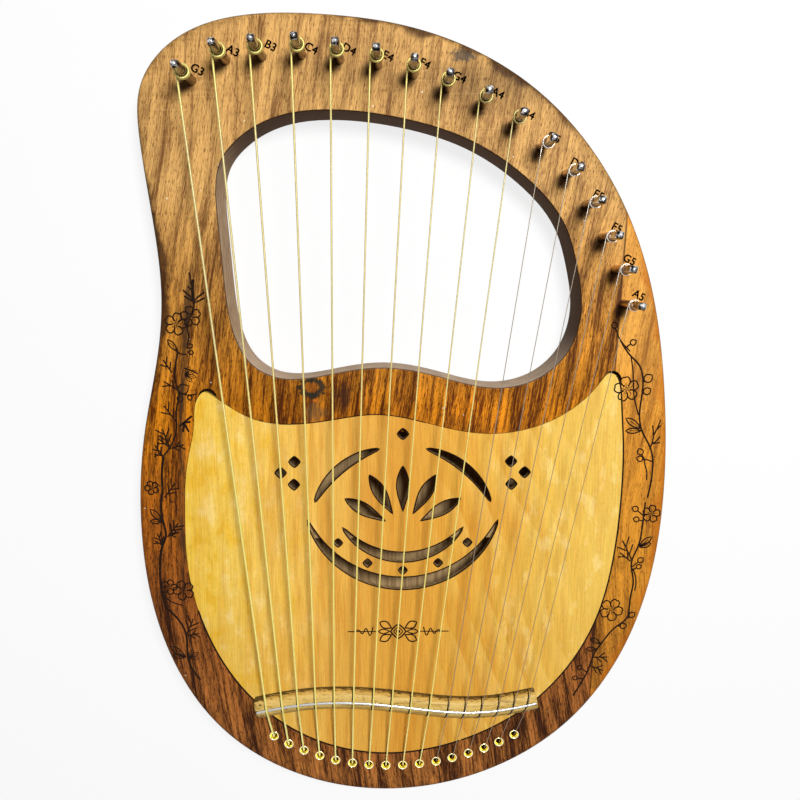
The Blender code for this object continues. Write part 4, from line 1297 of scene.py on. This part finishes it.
# %% Wire tree
def new_tree(name, **inputs):
    """Empty node tree from geometry to geometry, and its inputs, a finish among them."""
    tree = bpy.data.node_groups.new(name, "GeometryNodeTree")
    tree.interface.new_socket("Geometry", in_out="INPUT", socket_type="NodeSocketGeometry")
    named = {}
    for label, kind in {**inputs, "Finish": "NodeSocketMaterial"}.items():
        made = tree.interface.new_socket(label, in_out="INPUT", socket_type=kind)
        named[label] = made.identifier
    tree.interface.new_socket("Geometry", in_out="OUTPUT", socket_type="NodeSocketGeometry")
    return tree, named


def chain(tree, *steps):
    """Link the geometry through a row of nodes and give it the tree's finish at the end."""
    paint = tree.nodes.new("GeometryNodeSetMaterial")
    entry = tree.nodes.new("NodeGroupInput").outputs
    flow = entry["Geometry"]
    for step in (*steps, tree.nodes.new("GeometryNodeRealizeInstances"), paint):
        tree.links.new(flow, step.inputs[0])
        flow = step.outputs[0]
    tree.links.new(entry["Finish"], paint.inputs["Material"])
    tree.links.new(flow, tree.nodes.new("NodeGroupOutput").inputs[0])
    return entry


def round_sweep(tree):
    """Circle of radius 1, and the sweep that scales it by the radius at each point."""
    hoop = tree.nodes.new("GeometryNodeCurvePrimitiveCircle")
    hoop.inputs["Radius"].default_value = 1.0
    sweep = tree.nodes.new("GeometryNodeCurveToMesh")
    sweep.inputs["Fill Caps"].default_value = True
    tree.links.new(hoop.outputs["Curve"], sweep.inputs["Profile Curve"])
    if "Scale" in sweep.inputs:
        width = tree.nodes.new("GeometryNodeInputRadius")
        tree.links.new(width.outputs[0], sweep.inputs["Scale"])
    return hoop, sweep


wire_tree, wire_inputs = new_tree("wire", Sides="NodeSocketInt")
keep_length = wire_tree.nodes.new("GeometryNodeStoreNamedAttribute")
keep_length.inputs["Name"].default_value = "along"
length = wire_tree.nodes.new("GeometryNodeSplineParameter")
wire_tree.links.new(length.outputs["Length"], keep_length.inputs["Value"])
hoop, sweep = round_sweep(wire_tree)
smooth = wire_tree.nodes.new("GeometryNodeSetShadeSmooth")
entry = chain(wire_tree, keep_length, sweep, smooth)
wire_tree.links.new(entry["Sides"], hoop.inputs["Resolution"])
print("wire tree has", len(wire_tree.nodes), "nodes")

# %% [markdown]
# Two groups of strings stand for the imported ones: the wound ones and the plain ones. Each group
# is one object of many runs, grown by the tree into one mesh.

# %% Strings in their finishes
def curve_object(name, runs):
    """Curve object of straight-sided runs: points, radii and whether each one is closed."""
    curve = bpy.data.curves.new(name, "CURVE")
    curve.dimensions = "3D"
    for points, radii, closed in runs:
        run = curve.splines.new("POLY")
        run.points.add(len(points) - 1)
        for place, point, radius in zip(run.points, points, radii):
            place.co = (*point, 1.0)
            place.radius = radius
        run.use_cyclic_u = closed
    maker = bpy.data.objects.new(name, curve)
    home.objects.link(maker)
    return maker


def grown_by(maker, tree, named, **values):
    """Plain mesh that a node tree makes of an object, with the tree's inputs set first."""
    step = maker.modifiers.new("grow", "NODES")
    step.node_group = tree
    for label, value in values.items():
        step[named[label]] = value
    return evaluated(maker, maker.name)


for name, numbers, finish, slot in (
    ("wound_strings", range(WOUND_COUNT), wound_wire, "wound_string"),
    ("plain_strings", range(WOUND_COUNT, len(PIN_SPOTS)), plain_wire, "plain_string"),
):
    maker = curve_object(name, [(routes[i][0], routes[i][1], False) for i in numbers])
    mesh = grown_by(maker, wire_tree, wire_inputs, Sides=14, Finish=finish.material)
    put_on(name, mesh, [finish], [f"string_{i + 1:02d}" for i in numbers])

# %% [markdown]
# A fine dark line over the bridge beside each string is its painted shadow, on the side away from
# the lamp. It follows the bridge's own section, point by point, from its far foot over the rod to
# its near one.

# %% Painted string shadows on the bridge
SHADOW_LINE_RADIUS = 0.3
SHADOW_LINE_BESIDE = 0.3
SHADOW_LINE_ABOVE = 0.1


def painted_string_shadow(number):
    """Thin dark tube on the bridge's surface beside a string: its painted shadow."""
    saddle = between(SADDLE_X[number], saddle_line[:, 0], saddle_line)
    left = between(SADDLE_X[number], saddle_line[:, 0], lefts)
    back = saddle - np.array(EYELET_SPOTS[number])
    ahead = np.array(PIN_SPOTS[number]) - saddle
    points = []
    for share, rise in section[section[:, 1] > 0.05]:
        off = -share * BRIDGE_WIDE
        way = ahead if off > 0 else back
        flat = saddle + way * off / (way @ left)
        flat = flat - (string_radius(number) + SHADOW_LINE_BESIDE, 0.0)
        points.append((*flat, BRIDGE_FOOT + rise * BRIDGE_TALL + SHADOW_LINE_ABOVE))
    return tube(points, [SHADOW_LINE_RADIUS] * len(points), 6)


put_on("pressed_lines", joined([painted_string_shadow(number) for number in range(len(PIN_SPOTS))]),
       [burnt_and_shade])

# %% [markdown]
# ## Eyelets
#
# Each string leaves the wood through a brass eyelet. One is turned on its axis from a profile
# with a rolled rim, and a small tree places sixteen copies of it, one on each point of a mesh
# that holds nothing but the places.

# %% Eyelet row
FLANGE_RADIUS = 2.72
THROAT_RADIUS = 0.64
ROLL = 0.34
FLARE = [(THROAT_RADIUS, -TUBE_LONG), (THROAT_RADIUS, -1.9), (0.86, -1.4), (1.14, -0.8),
         (1.32, -0.1), (1.5, 0.26), (1.72, 0.5), (1.94, 0.68)]
rolled_rim = [(FLANGE_RADIUS - ROLL + ROLL * math.cos(turn),
               FIT + FLANGE_THICK - ROLL + ROLL * math.sin(turn))
              for turn in np.linspace(math.radians(150), 0, 11)]
underside = [(FLANGE_RADIUS - 0.1, FIT + 0.02), (TUBE_RADIUS, FIT), (TUBE_RADIUS, -TUBE_LONG)]
turned = loft([circle((0.0, 0.0), radius, height, 28)
               for radius, height in (*FLARE, *rolled_rim, *underside)], hoop=True)
one_eyelet = bpy.data.objects.new("one_eyelet", crisp(turned, math.radians(50)))
home.objects.link(one_eyelet)

row_tree, row_inputs = new_tree("row", Piece="NodeSocketObject")
shown = row_tree.nodes.new("GeometryNodeObjectInfo")
copies = row_tree.nodes.new("GeometryNodeInstanceOnPoints")
entry = chain(row_tree, copies)
row_tree.links.new(entry["Piece"], shown.inputs["Object"])
row_tree.links.new(shown.outputs["Geometry"], copies.inputs["Instance"])

places = bpy.data.meshes.new("eyelet_places")
places.from_pydata([(*spot, BODY_THICK) for spot in EYELET_SPOTS], [], [])
maker = bpy.data.objects.new("eyelets", places)
home.objects.link(maker)
eyelets = grown_by(maker, row_tree, row_inputs, Piece=one_eyelet, Finish=brass.material)
bpy.data.objects.remove(one_eyelet)
put_on("eyelet_row", eyelets, [brass],
       [f"eyelet_{i + 1:02d}" for i in range(len(EYELET_SPOTS))])

# %% [markdown]
# ## Tuning pins
#
# A pin is a round shank that passes over into a square head, so that a key can turn it. A
# superellipse does both: its fullness is 2 for the round shank and rises to 5.5 for the
# rounded square. Rings of it at rising heights make the whole pin, and the eye for the string
# is drilled through. Each pin is a piece of its own, because each turns on its own axis.

# %% Pins
PIN_RINGS = [
    (-20.0, 1.9, 2.0), (-19.4, 2.45, 2.0), (-2.0, 2.5, 2.0), (2.0, 2.5, 2.0), (12.0, 2.5, 2.0),
    (20.5, 2.5, 2.0), (21.2, 2.44, 2.0), (21.8, 2.26, 2.3), (22.4, 2.06, 3.2), (23.0, 1.97, 4.6),
    (26.0, 1.92, 5.5), (30.8, 1.84, 5.5), (31.5, 1.74, 4.6), (32.1, 1.52, 3.6),
    (32.6, 1.16, 2.8), (32.9, 0.72, 2.3), (33.0, 0.28, 2.0),
]
EYE_RADIUS = 0.75
pin_block = loft([at_height(superellipse(reach, fullness, 40, 0.5), z)
                  for z, reach, fullness in PIN_RINGS])
drill = bores([(0.0, 0.0)], EYE_RADIUS, -4.0, 4.0, 20)
drill.transform(Matrix.Translation((0.0, 0.0, PIN_EYE_UP)) @ Matrix.Rotation(math.pi / 2, 4, "Y"))
pin_mesh = crisp(carved(pin_block, [drill], "pin"), math.radians(40))
for number, (spot, route) in enumerate(zip(PIN_SPOTS, routes), start=1):
    mesh = pin_mesh.copy()
    mesh.transform(Matrix.Translation((*spot, BODY_THICK)) @ Matrix.Rotation(route[2], 4, "Z"))
    put_on(f"pin_{number:02d}_plated", mesh, [chrome], [f"tuning_pin_{number:02d}"],
           f"pin_{number:02d}")

# %% [markdown]
# ## Burnt lines and painted seam shade
#
# All drawing on the wood is burnt in: a line round each opening of the rose, a small mark below the
# rose and the blossom vines up both sides. Lines along the seam of the soundboard are drawn the same
# way, as painted shade in its gap. Each is a curve with a width along it. The tree sweeps a circle
# along the curves and flattens it, so that the line lies on the face.

# %% Line tree
FLATTENED = 0.16
line_tree, line_inputs = new_tree("burnt_line", Height="NodeSocketFloat")
hoop, sweep = round_sweep(line_tree)
hoop.inputs["Resolution"].default_value = 6
flatten = line_tree.nodes.new("GeometryNodeTransform")
flatten.inputs["Scale"].default_value = (1.0, 1.0, FLATTENED)
lift = line_tree.nodes.new("ShaderNodeCombineXYZ")
entry = chain(line_tree, sweep, flatten)
line_tree.links.new(entry["Height"], lift.inputs["Z"])
line_tree.links.new(lift.outputs[0], flatten.inputs["Translation"])


def drawn(runs, name, slot):
    """Burnt lines on the face from runs of flat points, a width and whether each is closed."""
    flat = [(at_height(np.array(points), 0.0), [wide / 2] * len(points), closed)
            for points, wide, closed in runs]
    mesh = grown_by(curve_object(name, flat), line_tree, line_inputs, Height=BODY_THICK,
                    Finish=burnt_and_shade.material)
    return put_on(name, mesh, [burnt_and_shade])


print("line tree has", len(line_tree.nodes), "nodes")

# %% [markdown]
# The gap round the soundboard gets painted shade: a dark line along its seam at its right, at its
# lower left and in the middle of its top, but not at the horns or the foot. The small mark is a
# lozenge between four leaves and two waves.

# %% Lines of the soundboard
SEAM_START = (33.1, -178.6)
rims_and_seam_shade = [(aside(loop, 0.15), 0.7, True) for loop in rose]
seam = spline(BOARD_KNOTS)


def nearest_on_seam(spot):
    """Number of the seam's point that is nearest to a spot."""
    return np.argmin(np.linalg.norm(seam - spot, axis=1))


def seam_shade_line(first, last, out, wide):
    """Dark line along the seam from one of its points to another: painted shade in the gap round the
    board.
    """
    return aside(thin(seam[first:last], closed=False), out, closed=False), wide, False


seam = np.roll(seam, -nearest_on_seam(SEAM_START), axis=0)
# These three lines along the seam are painted shade in the gap between the soundboard and the body.
rims_and_seam_shade.append(seam_shade_line(0, nearest_on_seam((113.0, 30.0)), 0.15, 0.9))
rims_and_seam_shade.append(seam_shade_line(nearest_on_seam((-112.5, -100.0)), None, 0.15, 1.0))
rims_and_seam_shade.append(seam_shade_line(nearest_on_seam((12.0, 4.0)), nearest_on_seam((-66.0, 4.4)), 0.1, 0.55))

mark = np.array((-2.5, -113.0))
for side in (-1, 1):
    rims_and_seam_shade.append(([mark + (side * 12.0, 0.0), mark + (side * 28.0, 0.0)], 0.6, False))
    wave = [mark + (side * (14.0 + 2.0 * step), 2.6 * (-1) ** step * (1 - step / 6))
            for step in range(6)]
    rims_and_seam_shade.append((spline(wave, closed=False, close=6), 0.7, False))
    for near, far, wide, degrees, line in (
        (4.2, 11.5, 4.0, 90 - side * 62, 0.8), (4.2, 11.5, 4.0, 270 + side * 62, 0.8),
        (4.6, 11.0, 2.6, 90 - side * 90, 0.7),
    ):
        rims_and_seam_shade.append((leaf_slot(mark, near, far, wide, degrees, 12), line, True))
rims_and_seam_shade += [(lozenge(mark, 8.4), 0.9, True), (lozenge(mark, 5.0), 0.6, True),
         ([mark + (-1.2, 0.0), mark + (1.2, 0.0)], 1.6, False)]
drawn(rims_and_seam_shade, "rose_lines", "soundboard_wood")

# %% [markdown]
# ## Blossom vines
#
# The vines are made of six motifs: a stem through a few knots, a five-petalled blossom, a
# pointed leaf with its rib, a bud on a short twig, a twig with stiff needles and a spray of
# narrow leaves. Each motif returns its lines, so a vine is only a list of places.

# %% Vine motifs
LINE = 0.76
BRANCH = 1.15


def stem(knots, wide=LINE):
    """Smooth line through knots."""
    return [(spline(knots, closed=False, close=8), wide, False)]


def blossom(x, y, reach, turn=90):
    """Five notched petals round a ring of stamens."""
    lines = []
    middle = np.array((x, y))
    for petal in range(5):
        shares = np.linspace(0, 1, 19)
        notch = 0.08 * np.exp(-((shares - 0.5) / 0.08) ** 2)
        radii = reach * (0.26 + 0.74 * np.sin(math.pi * shares) ** 0.45 - notch)
        swing = (shares - 0.5) * 78
        points = [middle + radius * heading(turn + 72 * petal + angle)
                  for radius, angle in zip(radii, swing)]
        lines.append((points, LINE, False))
        for angle, far in ((0, 0.46), (22, 0.34)):
            tip = middle + far * reach * heading(turn + 72 * petal + angle)
            lines.append(([middle + 0.06 * reach * heading(turn + 72 * petal + angle), tip],
                          0.32, False))
            lines.append(([tip, tip + (0.05, 0.05)], 0.9, False))
    return lines


def leaf(x, y, degrees, long, wide=None, line=LINE):
    """Pointed leaf with a rib, growing from its root."""
    wide = wide or 0.38 * long
    root = np.array((x, y))
    outline = leaf_slot(root, 0.0, long, wide, degrees, 10)
    rib = [root, root + 0.75 * long * heading(degrees)]
    return [(outline, line, True), (rib, 0.4, False)]


def bud(x, y, degrees, long, reach=1.5):
    """Round bud at the end of a short twig."""
    root = np.array((x, y))
    end = root + long * heading(degrees)
    middle = end + reach * heading(degrees)
    turns = np.linspace(0, 360, 13)[:-1]
    loop = [middle + reach * (1.0 if k % 12 else 1.25) * heading(degrees + turn)
            for k, turn in enumerate(turns)]
    return [([root, end], LINE, False), (loop, LINE, True)]


def twig(root, tip, needles=3):
    """Twig with short stiff needles on both sides of it."""
    root, tip = np.array(root), np.array(tip)
    along = tip - root
    sideways = np.array((-along[1], along[0]))
    lines = [([root, tip], LINE, False)]
    for needle in range(needles):
        start = root + along * (0.25 + 0.6 * needle / needles)
        side = 0.34 if needle % 2 else -0.34
        lines.append(([start, start + 0.38 * along + side * sideways], LINE, False))
    return lines


def spray(x, y, degrees, long, blades):
    """Fan of narrow leaves, the outer ones shorter."""
    lines = []
    for blade in range(blades):
        off = blade - (blades - 1) / 2
        lines += leaf(x, y, degrees + off * 34, long * (1.0 - 0.12 * abs(off)), 0.32 * long, 0.45)
    return lines


print("a blossom has", len(blossom(0, 0, 6)), "lines")

# %% [markdown]
# The right vine climbs the second plank in two long stems. The left one starts in a fork with
# six prongs, and a claw of five short lines sits beside its upper part.

# %% Both vines
right_vine = [
    *stem([(111.5, 54.0), (114.0, 48.5), (117.5, 44.5), (119.5, 42.5)]),
    *stem([(114.0, 48.5), (120.0, 40.0), (124.0, 36.0), (127.0, 22.0), (126.0, 8.5),
           (127.5, 0.5), (132.5, -9.0), (134.5, -21.5), (132.5, -37.0)], 0.95),
    *stem([(120.0, 40.0), (121.5, 31.0), (122.5, 19.5), (125.5, 8.5)]),
    *blossom(118.5, 22.5, 6.8, 100), *blossom(135.0, -46.0, 5.0, 80),
    *blossom(115.5, -101.0, 6.6, 62), *bud(117.6, 45.0, 35, 2.4), *bud(111.5, 54.0, 112, 0.8),
    *bud(127.0, 26.0, 40, 1.2, 2.2), *bud(127.0, 20.0, 30, 0.8, 1.9),
    *leaf(127.5, 1.0, 146, 10.6, 3.2), *leaf(127.5, 0.0, 180, 8.6, 2.8),
    *stem([(132.5, -10.0), (133.4, -7.0), (134.0, -2.0), (133.2, 3.0)]),
    *stem([(134.0, -2.6), (135.8, 1.2), (137.4, 6.0)]), *stem([(135.6, 0.6), (137.8, 3.0)]),
    *stem([(133.4, -7.0), (135.4, -5.8), (137.6, -3.2)]), *stem([(133.6, -7.2), (137.8, -6.4)]),
    *bud(130.0, -16.0, 120, 3.6, 1.6), *bud(130.0, -16.0, 165, 1.2, 1.5),
    *stem([(134.4, -17.0), (130.0, -16.0), (131.0, -21.0), (131.5, -27.0)]),
    *stem([(131.5, -39.5), (130.5, -52.5), (128.5, -65.0), (125.5, -73.5), (127.0, -85.0),
           (126.0, -92.5), (125.5, -99.0), (124.5, -105.5), (118.0, -111.5), (112.0, -119.0),
           (107.0, -127.0), (104.5, -135.0), (100.5, -144.0), (96.0, -152.0)], 0.95),
    *bud(130.8, -47.0, 140, 4.4, 1.5), *bud(130.5, -50.0, 165, 2.2, 1.4),
    *leaf(129.0, -64.5, 38, 8.8, 2.8), *leaf(129.5, -65.0, 20, 6.6, 2.4),
    *twig((125.5, -72.0), (120.0, -61.0)), *twig((125.0, -73.0), (119.0, -68.0), 2),
    *bud(126.0, -76.0, 40, 4.2, 1.5), *bud(126.2, -78.0, 30, 2.6, 1.3),
    *stem([(126.4, -77.0), (128.4, -84.0), (128.0, -90.0)]), *bud(124.8, -106.0, 40, 1.4, 1.6),
    *bud(119.5, -110.5, 0, 1.4, 1.6), *leaf(110.4, -121.0, 150, 6.6),
    *leaf(108.6, -124.4, 176, 6.2), *twig((106.0, -129.0), (114.4, -129.0)),
    *twig((105.0, -134.0), (112.4, -137.0)), *bud(103.4, -138.0, 146, 3.8, 1.3),
    *bud(101.4, -142.0, 172, 3.4, 1.2),
]

fork = []
for root, tip in (
    ((-109.5, 71.0), (-113.5, 74.5)), ((-109.0, 69.0), (-113.0, 71.5)),
    ((-106.5, 70.5), (-102.5, 73.5)), ((-106.5, 68.5), (-102.5, 70.5)),
    ((-109.0, 74.5), (-111.0, 76.5)), ((-109.5, 81.5), (-110.0, 83.5)),
):
    fork += [([root, tip], 1.0, False), ([root, (-108.2, 68.0)], 0.7, False)]
claw = [([(-116.0, 5.0), tip], BRANCH, False) for tip in (
    (-111.6, 8.6), (-112.4, 5.4), (-113.5, 0.0), (-116.5, 0.0), (-118.5, 3.0))]
left_vine = [
    *stem([(-108.0, 80.0), (-108.5, 73.0), (-108.0, 67.5)], 1.5),
    *stem([(-108.0, 67.5), (-110.0, 61.0), (-112.0, 54.5), (-111.5, 50.0), (-112.5, 46.5)]), *fork,
    *blossom(-110.0, 61.0, 5.4, 100), *blossom(-118.0, 57.0, 6.0, 75),
    *leaf(-117.5, 42.5, 128, 8.2, 2.6), *stem([(-117.5, 42.5), (-115.0, 41.2), (-113.0, 41.5)]),
    *bud(-113.0, 44.5, 30, 1.0, 1.2), *bud(-112.6, 42.6, -10, 0.8, 1.1),
    *spray(-114.4, 30.5, 5, 6.4, 4), *stem([(-114.6, 34.0), (-112.0, 33.2), (-107.6, 31.0)]),
    *stem([(-117.5, 42.5), (-119.5, 32.5), (-119.5, 27.0), (-118.0, 21.0), (-119.5, 12.0),
           (-120.0, 2.5), (-122.0, -5.0), (-124.0, -8.5), (-127.5, -13.0)], 0.9),
    *stem([(-127.5, -13.0), (-129.0, -25.0), (-129.0, -31.5), (-130.0, -38.5), (-129.5, -49.0),
           (-128.5, -58.0), (-130.5, -63.0), (-132.0, -72.0), (-132.5, -82.0), (-131.5, -92.0),
           (-130.5, -98.0)], 1.3),
    *bud(-118.0, 21.5, 30, 0.2, 2.6), *bud(-118.0, 19.5, -70, 0.2, 1.5),
    *stem([(-118.0, 21.0), (-113.0, 19.8), (-109.0, 20.2)]), *bud(-112.5, 19.8, -80, 0.2, 1.2),
    *twig((-121.0, 31.5), (-125.5, 38.5)), *twig((-118.5, 22.5), (-125.5, 27.0), 2),
    *twig((-120.0, 5.5), (-126.0, 14.0)), *twig((-124.0, -8.5), (-127.5, 1.5), 4),
    *twig((-124.0, -8.5), (-130.0, -3.5)), *twig((-124.0, -9.0), (-116.5, -7.0)),
    *twig((-128.0, -13.0), (-132.0, -7.0)), *twig((-128.0, -13.0), (-132.5, -12.0), 2), *claw,
    *blossom(-134.6, -30.5, 3.9, 40), *twig((-128.0, -36.0), (-122.0, -28.0), 4),
    *leaf(-130.0, -49.0, 133, 8.8, 3.0), *leaf(-130.0, -49.5, 176, 6.5, 2.4),
    *twig((-127.5, -58.0), (-121.4, -50.4), 5), *twig((-127.0, -57.5), (-121.5, -55.5), 2),
    *twig((-130.0, -63.0), (-133.0, -56.0)), *twig((-130.0, -63.0), (-134.5, -60.0), 2),
    *blossom(-120.0, -88.5, 5.8, 110), *blossom(-128.0, -86.5, 4.4, 70),
    *stem([(-130.5, -98.0), (-126.0, -102.5), (-120.5, -111.5), (-119.5, -118.0),
           (-119.0, -130.0), (-113.0, -141.0)], BRANCH),
    *stem([(-132.0, -90.0), (-127.0, -95.0), (-121.0, -97.0)]),
    *leaf(-120.5, -127.5, 142, 10.5, 3.2), *leaf(-120.5, -127.5, 172, 7.0, 2.4),
    *twig((-119.8, -115.0), (-115.5, -105.0), 4), *twig((-119.8, -115.0), (-112.5, -113.5)),
    *spray(-118.8, -128.0, 30, 6.4, 3),
]
drawn(right_vine + left_vine, "blossom_vines", "body_wood")

# %% [markdown]
# ## Note names
#
# Beside each pin stands the note that its string is tuned to. A text object is made a mesh at
# once, then turned and moved to its place, so that the finished letters sit at the origin like
# every other piece. Each is struck four times, a little apart, which thickens its strokes and
# leaves its openings clear.

# %% Letters by the pins
NOTES = ["G3", "A3", "B3", "C4", "D4", "E4", "F4", "G4", "A4", "B4", "C5", "D5", "E5", "F5",
         "G5", "A5"]
LABEL_SPOTS = [
    (-101.7, 182.3), (-83.9, 191.2), (-65.3, 193.6), (-45.4, 192.5), (-26.7, 192.1),
    (-7.5, 188.9), (10.8, 185.5), (28.0, 179.1), (47.3, 171.6), (63.1, 161.6), (75.9, 150.5),
    (88.1, 137.7), (99.6, 122.3), (109.7, 106.0), (116.9, 89.8), (122.6, 71.6),
]
LETTER_TALL = 5.5
LETTER_LEAN = math.radians(-27)
THICKER = 0.13

letters = []
for note, spot in zip(NOTES, LABEL_SPOTS):
    text = bpy.data.curves.new(note, "FONT")
    text.body = note
    text.size = LETTER_TALL
    text.space_character = 1.05
    text.extrude = 0.04
    text.align_x = "CENTER"
    text.align_y = "CENTER"
    maker = bpy.data.objects.new(note, text)
    home.objects.link(maker)
    mesh = evaluated(maker, note)
    place = Matrix.Translation((*spot, BODY_THICK)) @ Matrix.Rotation(LETTER_LEAN, 4, "Z")
    for right, up in ((-1, -1), (1, -1), (-1, 1), (1, 1)):
        struck = mesh.copy()
        struck.transform(place @ Matrix.Translation((right * THICKER, up * THICKER, 0.0)))
        letters.append(struck)
put_on("note_names", joined(letters), [burnt_and_shade])

# %% [markdown]
# ## Size
#
# Both boxes, of the imported model and of the dressed harp, are worked out, and the dressed size is
# printed. The dressed harp has to stay as large as the imported one.

# %% Work out the sizes
boxes = {"cad_box": [list(corner) for corner in PACKED_BOX],
         "visual_box": [list(corner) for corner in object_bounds()]}
print("dressed size in mm:",
      [round((high - low) / MM, 1) for low, high in zip(*boxes["visual_box"])])
